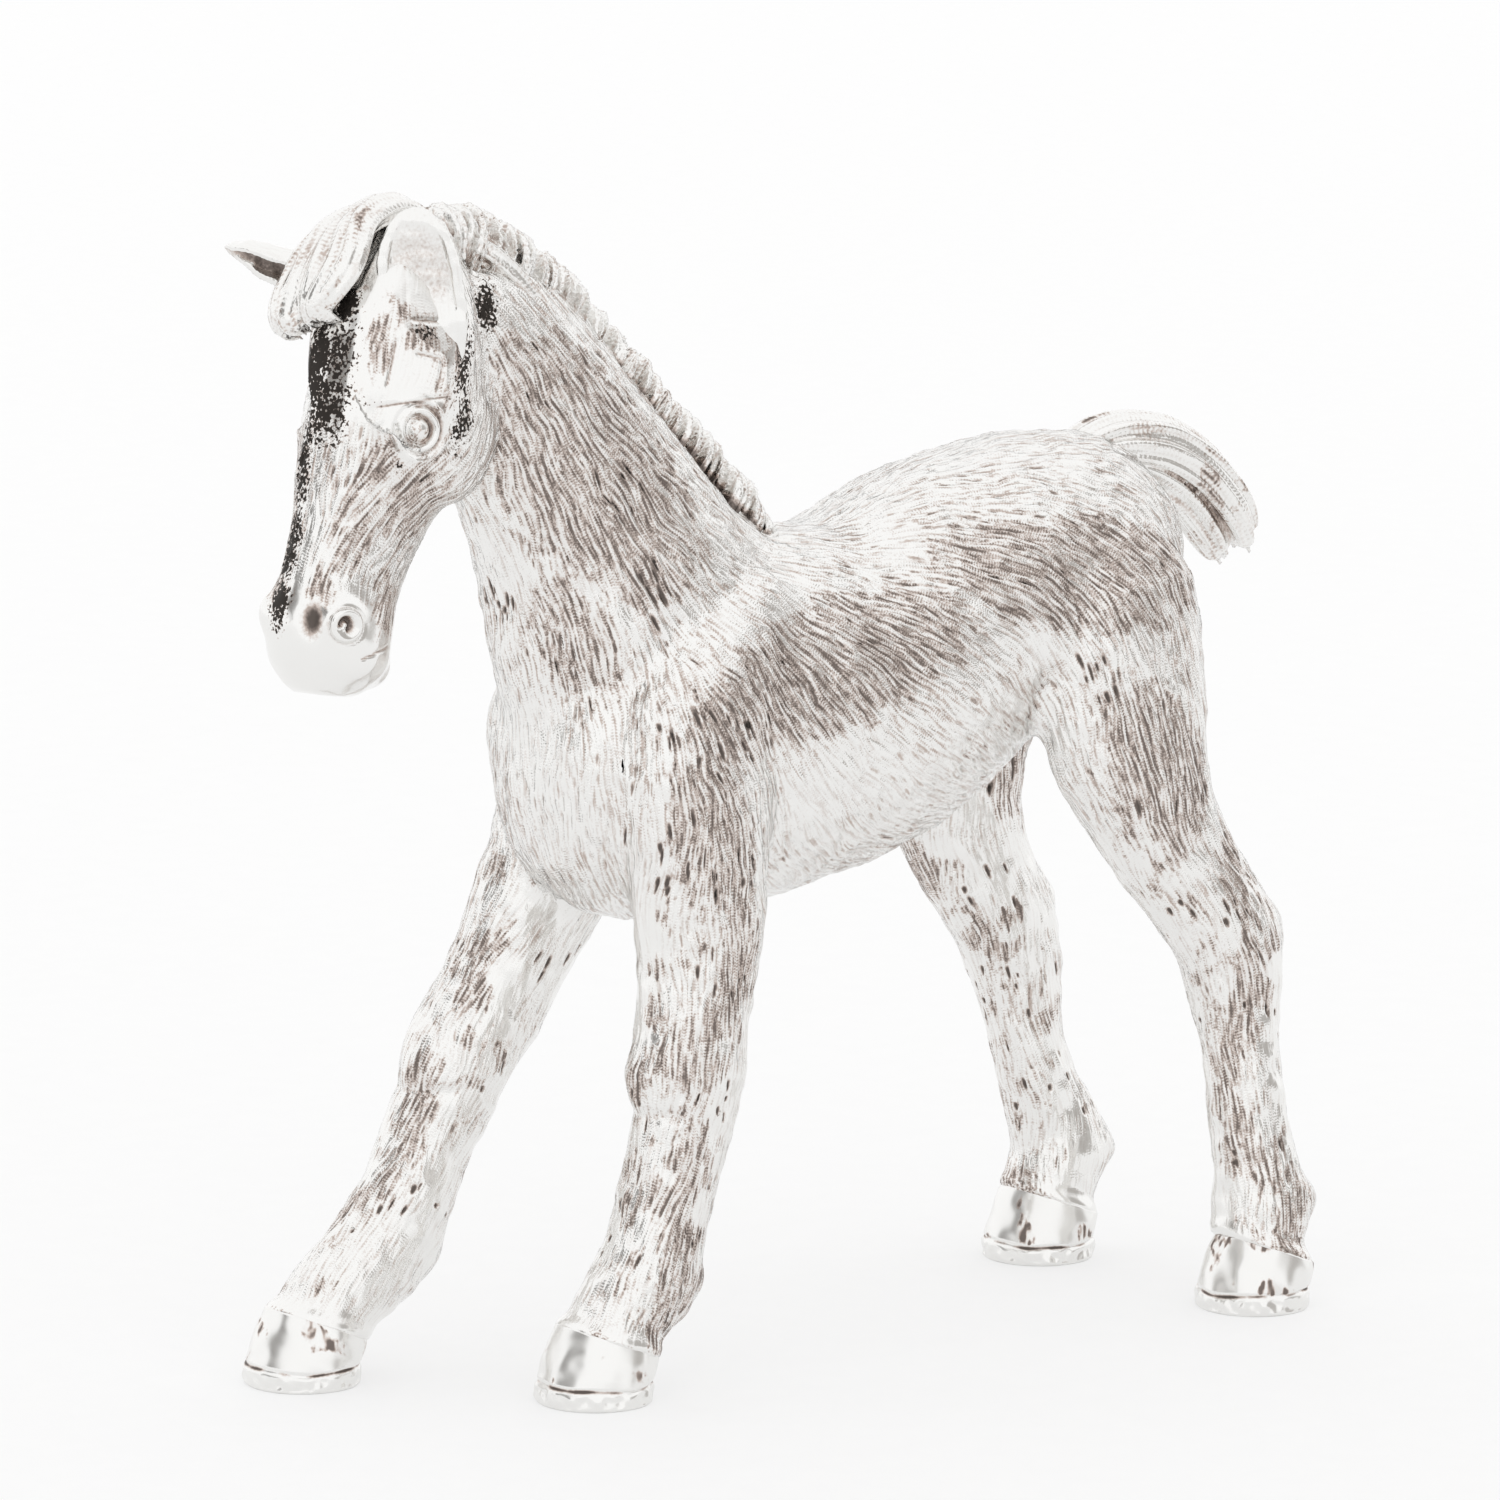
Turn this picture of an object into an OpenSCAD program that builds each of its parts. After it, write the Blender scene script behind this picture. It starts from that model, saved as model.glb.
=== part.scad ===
// Foal figurine: a small standing foal cast in silver, forelegs braced, head lowered and turned.
// Frame: +Z up from the ground under the hooves, the foal faces -Y, its left side is +X. Millimetres.

/* [Size] */
// Height of the figurine against the standard 60 mm casting
size_factor = 1; // [0.5:0.05:2]

/* [Pose] */
// Turn of the head towards the foal's left
head_turn = 20; // [10:1:28]
// Lean of the face forward of upright
head_lean = 19; // [14:1:26]

/* [Build] */
// Thickness of the legs against the standard build
leg_build = 1; // [0.85:0.05:1.15]
// Fullness of the trunk against the standard build
body_build = 1; // [0.92:0.02:1.08]

/* [Hair] */
// Number of clipped tufts along the mane
mane_tufts = 24; // [18:1:30]
// Height of a mane tuft above the crest
mane_rise = 2; // [1.2:0.1:2.6]

/* [Hooves] */
// Radius of the sole
sole_radius = 3.05; // [2.9:0.05:3.3]
// Height of the plain band under the hoof wall
sole_band = 1; // [0.6:0.1:1.4]
// Height of the hoof at the toe
toe_height = 3.9; // [3.6:0.1:4.4]

/* [Hidden] */

silver = [0.82, 0.81, 0.79];
// Shift that puts the middle of the whole foal on the origin
row_centre = [-1.6, 2.6, 0];
// Top of the head behind the ears, the origin of the head's own frame
poll = [1, -24.3, 56.6];

// Centres of the four soles
hoof_fl = [6, -17, 0];
hoof_fr = [-5.5, -26.5, 0];
hoof_hl = [9.5, 21.6, 0];
hoof_hr = [-5.8, 19.6, 0];
// The coronet is the sloping plane where the hoof wall ends and the leg begins
coronet_slope = 22;
coronet_radius = 2.7;
coronet_offset = [0, 0.7, toe_height - coronet_radius * sin(coronet_slope)];
// Step in from the sole band to the hoof wall
rim_step = 0.15;
// Thickness of the thin discs that a hoof wall is stretched between
skin = 0.02;
// Side of the block that clears a leg's end below its coronet
clear_span = 12;

// Swellings of the head in its own frame, one of each pair: centre and half sizes
eyeball = [[3.2, -1.9, -8.8], [1, 1.4, 1.2]];
brow_back = [[3.1, -1.4, -7], [0.9, 1.4, 0.7]];
brow_front = [[2.6, -2.9, -7.6], [0.8, 1, 0.7]];
cheek = [[2.8, 2.4, -8.4], [1.6, 3.2, 3.4]];
nostril = [[1.8, -2.2, -18.4], [1, 1.2, 1.2]];
chin = [[0, 2.2, -19.8], [1.8, 1.6, 1.4]];

// Direction each ear opens towards, and the ends of its hollow
ear_left_front = [0.5, -0.87, 0];
ear_right_front = [0, -1, -0.4];
ear_left_hollow = [[2.9, -3, -2.2], [3, -3.6, -0.4]];
ear_right_hollow = [[-4.2, -2.4, -3], [-6.4, -3.9, -1.9]];
// Radii of an ear's hollow, low down and near the tip
ear_hollow_low = 0.8;
ear_hollow_high = 0.4;

forelock_locks = 5;
forelock_front = [0, -1, 0.3];

// Depth of a tuft's root under the crest, its width across the neck and how far it leans aside
mane_root = 2.2;
mane_width = 3.8;
mane_lean = 0.3;
// Lengths of a tuft along the crest at the root, half way up and at the tip
tuft_lengths = [2.2, 1.6, 1];
// Widths half way up and at the tip against the root
tuft_tapers = [0.7, 0.3];
tuft_slice = 0.4;

// Each station is [x, y, z, half width, reach to the front or top, reach to the back or underside]
trunk_stations = [
    [0, -17.2, 31, 2, 2, 2.4],
    [0, -16, 31, 4.6, 5, 5.6],
    [0, -12.4, 31, 6.6, 8, 8.8],
    [0, -7, 32, 7.2, 9.2, 9.8],
    [0, -2, 32.3, 7.4, 9.1, 9.5],
    [0, 3, 33.2, 7.7, 8.4, 9],
    [0, 8, 35.4, 7.4, 8.3, 8.2],
    [0, 13, 36.8, 7.3, 7.8, 6.2],
    [0, 17, 36.8, 6.6, 7.5, 6],
    [0, 19.8, 36.2, 5, 5.8, 5.4],
    [0, 21.4, 35.6, 2.6, 3.4, 3.6],
    [0, 22.2, 35.4, 0.8, 1, 1]
];
neck_stations = [
    [0, -5.6, 31, 5.4, 6, 5.4],
    [0, -8, 34.6, 6, 7.8, 9],
    [0, -10.8, 38.8, 5.4, 7.3, 8.4],
    [0.1, -13.6, 43.4, 4.6, 6.3, 6.5],
    [0.3, -16.4, 47.6, 4, 5.7, 5.6],
    [0.6, -19.4, 51, 3.6, 5.2, 5],
    [0.9, -22, 53.4, 3, 4.2, 4],
    [1.1, -23.8, 54.8, 1.8, 2.4, 2.4]
];
// Head stations lie in the head's own frame, with the poll at the origin and the nose straight down
head_stations = [
    [0, 1.2, 1, 1, 1, 1.2],
    [0, 0.8, 0.3, 2.3, 2.4, 2.6],
    [0, 0.5, -2.4, 3.6, 4, 4.6],
    [0, 0.3, -5.4, 4.2, 4.6, 6],
    [0, 0.2, -8.2, 4.1, 4.4, 6.4],
    [0, 0.1, -10.8, 3.4, 4, 5.4],
    [0, 0, -13.4, 2.7, 3.7, 4.2],
    [0, -0.2, -16, 2.5, 3.5, 3.4],
    [0, -0.3, -18.6, 2.8, 3.5, 3.3],
    [0, -0.2, -20.4, 2.7, 2.8, 3.2],
    [0, 0, -21.8, 1.5, 1.4, 2]
];
tail_stations = [
    [0, 15.6, 42, 1.4, 1.4, 1.4],
    [0, 18.2, 43.5, 1.9, 1.7, 2],
    [0, 21.4, 43.2, 2.1, 1.9, 2.2],
    [0, 24.2, 41.6, 2.2, 2, 2.3],
    [0, 26.3, 39.4, 2.1, 1.9, 2.1],
    [0, 27.4, 37.6, 1.6, 1.5, 1.6],
    [0, 27.8, 36.9, 0.8, 0.8, 0.8]
];
foreleg_left_stations = [
    [4.4, -5, 39.2, 1, 1.6, 1.6],
    [4.9, -7.6, 36, 2.2, 3.4, 3.2],
    [5.2, -10.4, 32, 2.9, 4.4, 4.3],
    [5.4, -10.8, 28.5, 3, 4, 4.6],
    [5.5, -10.7, 25.2, 2.8, 3.4, 4],
    [5.6, -10.7, 21.5, 2.6, 3, 3.5],
    [5.8, -11.2, 18, 2.5, 2.8, 3],
    [5.9, -11.5, 15.4, 2.6, 3, 2.9],
    [6, -11.8, 13, 2.3, 2.5, 2.7],
    [6, -12.6, 10, 2.2, 2.4, 2.5],
    [6, -13.6, 7.2, 2.3, 2.4, 2.8],
    [6, -14.4, 5.6, 2.4, 2.4, 3],
    [6, -15.6, 4, 2.4, 2.4, 2.5],
    [6, -16.2, 2.6, 2.5, 2.5, 2.5],
    [6, -16.4, 1, 2.5, 2.5, 2.5]
];
foreleg_right_stations = [
    [-4.4, -5, 39.2, 1, 1.6, 1.6],
    [-4.9, -7.6, 36, 2.2, 3.2, 3.2],
    [-5, -9.8, 32, 2.7, 3.8, 4.3],
    [-5.1, -10.8, 28.5, 2.8, 3.6, 4.4],
    [-5.2, -12, 25, 2.8, 3.2, 4.4],
    [-5.4, -13.6, 21.4, 2.6, 3, 3.8],
    [-5.5, -15.4, 18, 2.5, 2.8, 3],
    [-5.5, -17, 15.4, 2.6, 3, 2.9],
    [-5.5, -18.2, 13, 2.3, 2.5, 2.7],
    [-5.5, -19.6, 10.2, 2.2, 2.4, 2.6],
    [-5.5, -21.2, 7.6, 2.3, 2.4, 2.9],
    [-5.5, -22.6, 5.8, 2.4, 2.4, 3],
    [-5.5, -24.6, 4.1, 2.4, 2.4, 2.5],
    [-5.5, -25.7, 2.6, 2.5, 2.5, 2.5],
    [-5.5, -26, 1, 2.5, 2.5, 2.5]
];
hindleg_left_stations = [
    [4.4, 14.4, 41, 1.2, 2.4, 2.4],
    [5.4, 15.2, 37, 2.6, 5, 5],
    [5.8, 15.6, 32.5, 2.9, 5.2, 5],
    [6.2, 16, 28.8, 2.9, 4.6, 4.4],
    [6.5, 17.4, 25, 2.6, 3.5, 3.6],
    [6.8, 19.4, 21.8, 2.4, 2.9, 3.2],
    [7.2, 21.3, 18.8, 2.4, 2.8, 3.2],
    [7.5, 21.8, 16.2, 2.2, 2.6, 2.7],
    [7.9, 21.9, 13.4, 1.9, 2.2, 2.1],
    [8.3, 21.9, 10, 1.9, 2.1, 2],
    [8.8, 22.2, 7, 2.1, 2.3, 2.3],
    [9.1, 22.2, 5.2, 2.4, 2.4, 2.8],
    [9.3, 22, 3.8, 2.3, 2.4, 2.4],
    [9.5, 22, 2.4, 2.4, 2.5, 2.4],
    [9.5, 22, 1, 2.4, 2.5, 2.4]
];
hindleg_right_stations = [
    [-4.4, 14.4, 41, 1.2, 2.4, 2.4],
    [-5.4, 15, 37, 2.6, 5, 5.2],
    [-6, 14.8, 32.5, 3, 5.4, 5.4],
    [-6.3, 14, 28.8, 3, 5, 5.2],
    [-6.5, 14.2, 25, 2.6, 3.9, 4.4],
    [-6.5, 15.4, 21.4, 2.4, 3, 3.5],
    [-6.5, 17.4, 18, 2.4, 2.7, 3.2],
    [-6.4, 18.3, 15.4, 2.2, 2.5, 2.7],
    [-6.2, 18.8, 12.8, 1.9, 2.1, 2.1],
    [-6.1, 19.4, 10, 1.9, 2.1, 2.1],
    [-6, 20.4, 7.2, 2.1, 2.3, 2.5],
    [-5.9, 20.8, 5.6, 2.4, 2.4, 3],
    [-5.8, 20.2, 3.8, 2.3, 2.4, 2.6],
    [-5.8, 20, 2.4, 2.4, 2.5, 2.5],
    [-5.8, 20, 1, 2.4, 2.5, 2.5]
];

ear_left_stations = [
    [2.2, -0.6, -3.8, 1.4, 0.7, 0.8],
    [2.4, -1.6, -2.8, 1.8, 0.8, 0.8],
    [2.6, -2.4, -1.4, 1.8, 0.8, 0.8],
    [2.7, -2.9, 0, 1.2, 0.6, 0.6],
    [2.7, -3.1, 0.8, 0.4, 0.3, 0.3]
];
ear_right_stations = [
    [-2.2, -0.6, -3.2, 1, 0.7, 0.8],
    [-3.6, -1.4, -2.7, 1.3, 0.8, 0.8],
    [-5.2, -2.4, -2.1, 1.2, 0.7, 0.7],
    [-6.8, -3.3, -1.5, 0.8, 0.5, 0.5],
    [-7.7, -3.9, -1.2, 0.3, 0.25, 0.25]
];
forelock_far = [
    [0.4, 1.8, 1.2, 0.7, 0.6, 0.6],
    [-2, 0.4, 1.1, 1, 0.8, 0.8],
    [-3.2, -1.9, -0.9, 1.1, 0.9, 0.9],
    [-3.4, -3.8, -3.4, 1, 0.9, 0.9],
    [-2.7, -4.8, -5.6, 0.5, 0.5, 0.5]
];
forelock_near = [
    [1.8, 1.8, 1.2, 0.7, 0.6, 0.6],
    [1.2, -0.8, 1, 1, 0.8, 0.8],
    [0.4, -2.9, -0.8, 1.1, 0.9, 0.9],
    [-0.6, -4.4, -2.8, 1, 0.9, 0.9],
    [-1.5, -5.2, -4.8, 0.5, 0.5, 0.5]
];
crest_line = [
    [1, -23.6, 57],
    [0.8, -20.8, 56.4],
    [0.4, -16.8, 54],
    [0.1, -12.6, 50.2],
    [0, -8.4, 45.6],
    [0, -4.8, 42],
    [0, -2.6, 40.8]
];

// ---- curves and lofts ----
function unit(v) = v / norm(v);
function pick(list, i) = list[max(0, min(len(list) - 1, i))];
function place(s) = [s[0], s[1], s[2]];
function blend(p, q, r, s, t) =
    0.5 * (2 * q + (r - p) * t + (2 * p - 5 * q + 4 * r - s) * t * t + (3 * q - p - 3 * r + s) * t * t * t);
function smooth(list, steps) = [
    for (i = [0:len(list) - 2], k = [0:steps - 1])
        blend(pick(list, i - 1), list[i], list[i + 1], pick(list, i + 2), k / steps),
    list[len(list) - 1]
];
function heading(path, i) = unit(place(pick(path, i + 1)) - place(pick(path, i - 1)));
function ring(path, i, front, girth, facets) =
    let (s = path[i], t = heading(path, i), n = unit(front - (front * t) * t), side = cross(n, t))
    [for (k = [0:facets - 1])
        let (a = 360 * k / facets)
        place(s) + side * s[3] * girth * cos(a) + n * (sin(a) > 0 ? s[4] : s[5]) * girth * sin(a)];

module loft(stations, front, girth = 1, steps = 2, facets = 24) {
    path = smooth(stations, steps);
    for (i = [0:len(path) - 2])
        hull()
            polyhedron(
                points = concat(ring(path, i, front, girth, facets), ring(path, i + 1, front, girth, facets)),
                faces = [[for (k = [0:facets - 1]) k], [for (k = [0:facets - 1]) facets + k]]
            );
}

// A ball or egg: its centre and half sizes, mirrored across the head when side is -1
module lump(shape, side = 1) {
    translate([shape[0][0] * side, shape[0][1], shape[0][2]])
        scale(shape[1])
            sphere(r = 1, $fn = 16);
}

module figurine() {
    translate(row_centre * size_factor)
        scale(size_factor)
            color(silver)
                children();
}

// ---- whole shapes, before neighbours are parted ----
module trunk_form() {
    loft(trunk_stations, [0, 0, 1], body_build, 3);
}

module neck_form() {
    loft(neck_stations, [0, 0.8, 0.6], 1, 3);
}

module in_head() {
    translate(poll)
        rotate([0, 0, head_turn])
            rotate([-head_lean, 0, 0])
                children();
}

module head_form() {
    in_head() {
        loft(head_stations, [0, -1, 0], 1, 3);
        for (side = [-1, 1]) {
            lump(eyeball, side);
            hull() {
                lump(brow_back, side);
                lump(brow_front, side);
            }
            lump(cheek, side);
            lump(nostril, side);
        }
        lump(chin);
    }
}

module leg_form(stations) {
    loft(stations, [0, -1, 0], leg_build);
}

// Everything under the coronet plane of one hoof
module below_coronet(hoof) {
    translate(hoof + coronet_offset)
        rotate([-coronet_slope, 0, 0])
            translate([-clear_span / 2, -clear_span / 2, -clear_span])
                cube(clear_span);
}

module hoof(at) {
    figurine()
        translate(at) {
            cylinder(r = sole_radius, h = sole_band, $fn = 48);
            hull() {
                translate([0, 0, sole_band])
                    cylinder(r = sole_radius - rim_step, h = skin, $fn = 48);
                translate(coronet_offset)
                    rotate([-coronet_slope, 0, 0])
                        translate([0, 0, -skin])
                            cylinder(r = coronet_radius, h = skin, $fn = 48);
            }
        }
}

module leg(stations, hoof) {
    figurine()
        difference() {
            leg_form(stations);
            trunk_form();
            neck_form();
            below_coronet(hoof);
        }
}

module ear_form(stations, front) {
    in_head()
        loft(stations, front, facets = 12);
}

module ear(stations, front, hollow) {
    figurine()
        difference() {
            ear_form(stations, front);
            in_head()
                hull() {
                    lump([hollow[0], ear_hollow_low * [1, 1, 1]]);
                    lump([hollow[1], ear_hollow_high * [1, 1, 1]]);
                }
            head_form();
        }
}

module forelock_form() {
    in_head()
        for (k = [0:forelock_locks - 1])
            loft(
                [for (i = [0:len(forelock_far) - 1])
                    forelock_far[i] + (forelock_near[i] - forelock_far[i]) * k / (forelock_locks - 1)],
                forelock_front,
                facets = 10
            );
}

// One flat slice of a mane tuft, turned to lie along the crest
module tuft(at, along, width, length) {
    turn = atan2(along[2], along[1]);
    translate(at)
        rotate([turn, 0, 0])
            cube([width, length, tuft_slice], center = true);
}

module mane_form() {
    crest = smooth(crest_line, 3);
    last = len(crest) - 1;
    for (k = [0:mane_tufts - 1]) {
        t = last * k / (mane_tufts - 1);
        i = min(floor(t), last - 1);
        along = unit(crest[i + 1] - crest[i]);
        rise = unit(cross([1, 0, 0], along));
        at = crest[i] + (crest[i + 1] - crest[i]) * (t - i);
        lean = [k % 2 == 0 ? mane_lean : -mane_lean, 0, 0];
        half_way = at + rise * mane_rise / 2 + lean;
        tip = at + rise * mane_rise + lean - along * 0.3;
        hull() {
            tuft(at - rise * mane_root, along, mane_width, tuft_lengths[0]);
            tuft(half_way, along, mane_width * tuft_tapers[0], tuft_lengths[1]);
            tuft(tip, along, mane_width * tuft_tapers[1], tuft_lengths[2]);
        }
    }
}

module torso() {
    figurine()
        trunk_form();
}

module neck() {
    figurine()
        difference() {
            neck_form();
            trunk_form();
        }
}

module head() {
    figurine()
        difference() {
            head_form();
            neck_form();
        }
}

module ear_left() {
    ear(ear_left_stations, ear_left_front, ear_left_hollow);
}

module ear_right() {
    ear(ear_right_stations, ear_right_front, ear_right_hollow);
}

module forelock() {
    figurine()
        difference() {
            forelock_form();
            head_form();
            neck_form();
            ear_form(ear_left_stations, ear_left_front);
            ear_form(ear_right_stations, ear_right_front);
        }
}

module mane() {
    figurine()
        difference() {
            mane_form();
            neck_form();
            head_form();
            trunk_form();
            forelock_form();
        }
}

module tail() {
    figurine()
        difference() {
            loft(tail_stations, [0, 0, 1]);
            trunk_form();
        }
}

module foreleg_left() {
    leg(foreleg_left_stations, hoof_fl);
}

module foreleg_right() {
    leg(foreleg_right_stations, hoof_fr);
}

module hindleg_left() {
    leg(hindleg_left_stations, hoof_hl);
}

module hindleg_right() {
    leg(hindleg_right_stations, hoof_hr);
}

module hoof_fore_left() {
    hoof(hoof_fl);
}

module hoof_fore_right() {
    hoof(hoof_fr);
}

module hoof_hind_left() {
    hoof(hoof_hl);
}

module hoof_hind_right() {
    hoof(hoof_hr);
}

torso();
neck();
head();
ear_left();
ear_right();
forelock();
mane();
tail();
foreleg_left();
foreleg_right();
hindleg_left();
hindleg_right();
hoof_fore_left();
hoof_fore_right();
hoof_hind_left();
hoof_hind_right();
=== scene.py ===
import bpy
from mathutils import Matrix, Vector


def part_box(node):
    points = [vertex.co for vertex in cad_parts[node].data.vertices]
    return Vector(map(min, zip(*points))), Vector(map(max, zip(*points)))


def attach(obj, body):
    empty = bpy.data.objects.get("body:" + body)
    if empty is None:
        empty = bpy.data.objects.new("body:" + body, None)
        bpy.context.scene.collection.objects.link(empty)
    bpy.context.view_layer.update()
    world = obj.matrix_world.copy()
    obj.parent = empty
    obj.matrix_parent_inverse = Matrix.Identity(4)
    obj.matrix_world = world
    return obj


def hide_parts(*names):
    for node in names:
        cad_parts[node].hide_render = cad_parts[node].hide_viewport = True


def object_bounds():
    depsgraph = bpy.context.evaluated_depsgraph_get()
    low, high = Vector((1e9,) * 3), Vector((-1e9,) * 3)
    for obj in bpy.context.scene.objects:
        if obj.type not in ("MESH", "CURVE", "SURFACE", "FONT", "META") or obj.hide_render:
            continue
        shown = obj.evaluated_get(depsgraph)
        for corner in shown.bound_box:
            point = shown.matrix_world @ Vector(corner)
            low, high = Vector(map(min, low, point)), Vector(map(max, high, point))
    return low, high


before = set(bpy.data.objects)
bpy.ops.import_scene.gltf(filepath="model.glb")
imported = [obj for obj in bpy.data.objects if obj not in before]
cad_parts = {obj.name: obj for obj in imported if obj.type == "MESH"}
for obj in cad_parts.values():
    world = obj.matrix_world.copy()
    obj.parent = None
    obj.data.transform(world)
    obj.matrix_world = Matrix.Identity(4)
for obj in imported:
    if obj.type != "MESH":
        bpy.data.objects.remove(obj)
cad_box = [list(corner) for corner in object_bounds()]

import math

import bpy
import numpy as np
from mathutils import Vector, kdtree
from mathutils.bvhtree import BVHTree

# A small foal cast in silver: coat pieces sculpted over the CAD bodies, combed hair, ears and hooves.
# Shapes are worked out in millimetres and turned to metres when a mesh is made.
MM = 0.001

# ---- driving sizes, millimetres ----
BODY_VOXEL = 0.42
BODY_LEVELS = 2
HAIR_VOXEL = 0.09
STROKES = 27000
CORONET_DROP = 0.8

BODY_NODES = ["torso", "neck", "head", "foreleg_left", "foreleg_right", "hindleg_left", "hindleg_right"]
LEGS = ["foreleg_left", "foreleg_right", "hindleg_left", "hindleg_right"]
HOOVES = ["hoof_fore_left", "hoof_fore_right", "hoof_hind_left", "hoof_hind_right"]


# ---- small vector tools ----
def unit(vectors):
    vectors = np.asarray(vectors, float)
    return vectors / np.maximum(np.linalg.norm(vectors, axis=-1, keepdims=True), 1e-9)


def ramp(values, start, end):
    t = np.clip((values - start) / (end - start), 0, 1)
    return t * t * (3 - 2 * t)


def bell(distance, width):
    return np.exp(-((distance / width) ** 2))


def turn(axis, degrees):
    """Rotation matrix about axis 0 (X) or 2 (Z)."""
    c, s = math.cos(math.radians(degrees)), math.sin(math.radians(degrees))
    if axis == 0:
        return np.array([[1, 0, 0], [0, c, -s], [0, s, c]])
    return np.array([[c, -s, 0], [s, c, 0], [0, 0, 1]])


def ripple(points, wavelength, seed, waves=22):
    """Smooth random field of about unit size, from plane waves in seeded directions."""
    random = np.random.default_rng(seed)
    total = np.zeros(len(points))
    for _ in range(waves):
        direction = unit(random.normal(size=3)) * 2 * math.pi / (wavelength * random.uniform(0.7, 1.4))
        total += np.sin(points @ direction + random.uniform(0, 2 * math.pi))
    return total * math.sqrt(2 / waves)


# ---- the frame's own places ----
def node_box(name):
    low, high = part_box(name)
    return np.array(low) / MM, np.array(high) / MM


HEAD_TURN = 20
HEAD_LEAN = 19
head_low, head_high = node_box("head")
# The poll, the top of the head behind the ears, is the origin of the head's own axes
POLL = np.array([(head_low[0] + head_high[0]) / 2 - 0.67, head_high[1] - 3.51, head_high[2] - 1.69])
HEAD_AXES = turn(2, HEAD_TURN) @ turn(0, -HEAD_LEAN)
torso_low, torso_high = node_box("torso")
MIDLINE = (torso_low[0] + torso_high[0]) / 2
ROW = np.array([MIDLINE, 2.6, 0])


def to_head(points):
    return (points - POLL) @ HEAD_AXES


def from_head(points):
    return np.asarray(points, float) @ HEAD_AXES.T + POLL


# ---- meshes ----
def make_mesh(name, points, *face_groups):
    mesh = bpy.data.meshes.new(name)
    loops = np.concatenate([group.ravel() for group in face_groups]).astype(np.int32)
    sizes = np.concatenate([np.full(len(group), group.shape[1]) for group in face_groups])
    mesh.vertices.add(len(points))
    mesh.vertices.foreach_set("co", np.asarray(points, np.float32).ravel())
    mesh.loops.add(len(loops))
    mesh.loops.foreach_set("vertex_index", loops)
    mesh.polygons.add(len(sizes))
    mesh.polygons.foreach_set("loop_start", (np.cumsum(sizes) - sizes).astype(np.int32))
    mesh.update(calc_edges=True)
    return mesh


def modified(mesh, kind, **settings):
    """A new mesh: the given one after one modifier."""
    holder = bpy.data.objects.new("holder", mesh)
    bpy.context.scene.collection.objects.link(holder)
    modifier = holder.modifiers.new("step", kind)
    for name, value in settings.items():
        setattr(modifier, name, value)
    graph = bpy.context.evaluated_depsgraph_get()
    result = bpy.data.meshes.new_from_object(holder.evaluated_get(graph))
    bpy.data.objects.remove(holder)
    return result


def mesh_points(mesh):
    points = np.empty(3 * len(mesh.vertices), np.float32)
    mesh.vertices.foreach_get("co", points)
    return points.reshape(-1, 3).astype(float)


def mesh_quads(mesh):
    """Faces of an all-quad mesh."""
    quads = np.empty(len(mesh.loops), np.int32)
    mesh.loops.foreach_get("vertex_index", quads)
    return quads.reshape(-1, 4)


def node_arrays(name):
    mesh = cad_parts[name].data
    mesh.calc_loop_triangles()
    faces = np.empty(3 * len(mesh.loop_triangles), np.int32)
    mesh.loop_triangles.foreach_get("vertices", faces)
    return mesh_points(mesh) / MM, faces.reshape(-1, 3)


def joined(parts):
    """Points and faces of several (points, faces) pairs as one."""
    points, faces, start = [], [], 0
    for part_points, part_faces in parts:
        points.append(part_points)
        faces.append(part_faces + start)
        start += len(part_points)
    return np.concatenate(points), np.concatenate(faces)


def scatter(index, values, count):
    """Sums rows of values into count rows, at index."""
    return np.stack([np.bincount(index, values[:, k], count) for k in range(values.shape[1])], 1)


def normals_of(points, quads):
    across = np.cross(points[quads[:, 2]] - points[quads[:, 0]], points[quads[:, 3]] - points[quads[:, 1]])
    return unit(scatter(quads.ravel(), np.repeat(across, 4, axis=0), len(points)))


def relaxed(points, quads, rounds, push=-0.53):
    """Smooths a mesh; the second pass of each round pushes back out, so that thin parts keep their size."""
    ends = np.concatenate([quads[:, [k, (k + 1) % 4]] for k in range(4)])
    count = np.bincount(ends[:, 0], minlength=len(points))[:, None]
    for _ in range(rounds):
        for share in (0.5, push):
            mean = scatter(ends[:, 0], points[ends[:, 1]], len(points)) / count
            points = points + (mean - points) * share
    return points


def remeshed(points, faces, voxel, rounds):
    """One closed all-quad skin round a set of solids."""
    mesh = modified(make_mesh("solids", points, faces), "REMESH", mode="VOXEL", voxel_size=voxel)
    quads = mesh_quads(mesh)
    return relaxed(mesh_points(mesh), quads, rounds), quads


def finished(name, points, quads, caps=None, normals=None, **attributes):
    """The piece's object, in metres, with its per-point attributes."""
    groups = [quads] if caps is None else [quads, caps]
    mesh = make_mesh(name, points * MM, *groups)
    for key, values in attributes.items():
        if values.ndim == 2:
            layer = mesh.attributes.new(key, "FLOAT_VECTOR", "POINT")
            layer.data.foreach_set("vector", values.astype(np.float32).ravel())
        else:
            layer = mesh.attributes.new(key, "FLOAT", "POINT")
            layer.data.foreach_set("value", values.astype(np.float32))
    mesh.polygons.foreach_set("use_smooth", np.ones(len(mesh.polygons), bool))
    if normals is not None:
        mesh.normals_split_custom_set_from_vertices(normals.astype(np.float32))
    piece = bpy.data.objects.new(name, mesh)
    bpy.context.scene.collection.objects.link(piece)
    return piece


# ---- places on the body ----
CREST = np.array([
    [1.0, -23.6, 57.0], [0.8, -20.8, 56.3], [0.4, -16.8, 53.8], [0.1, -12.6, 50.0],
    [0.0, -8.4, 45.5], [0.0, -4.8, 42.0], [0.0, -2.6, 40.6],
]) + ROW


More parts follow.
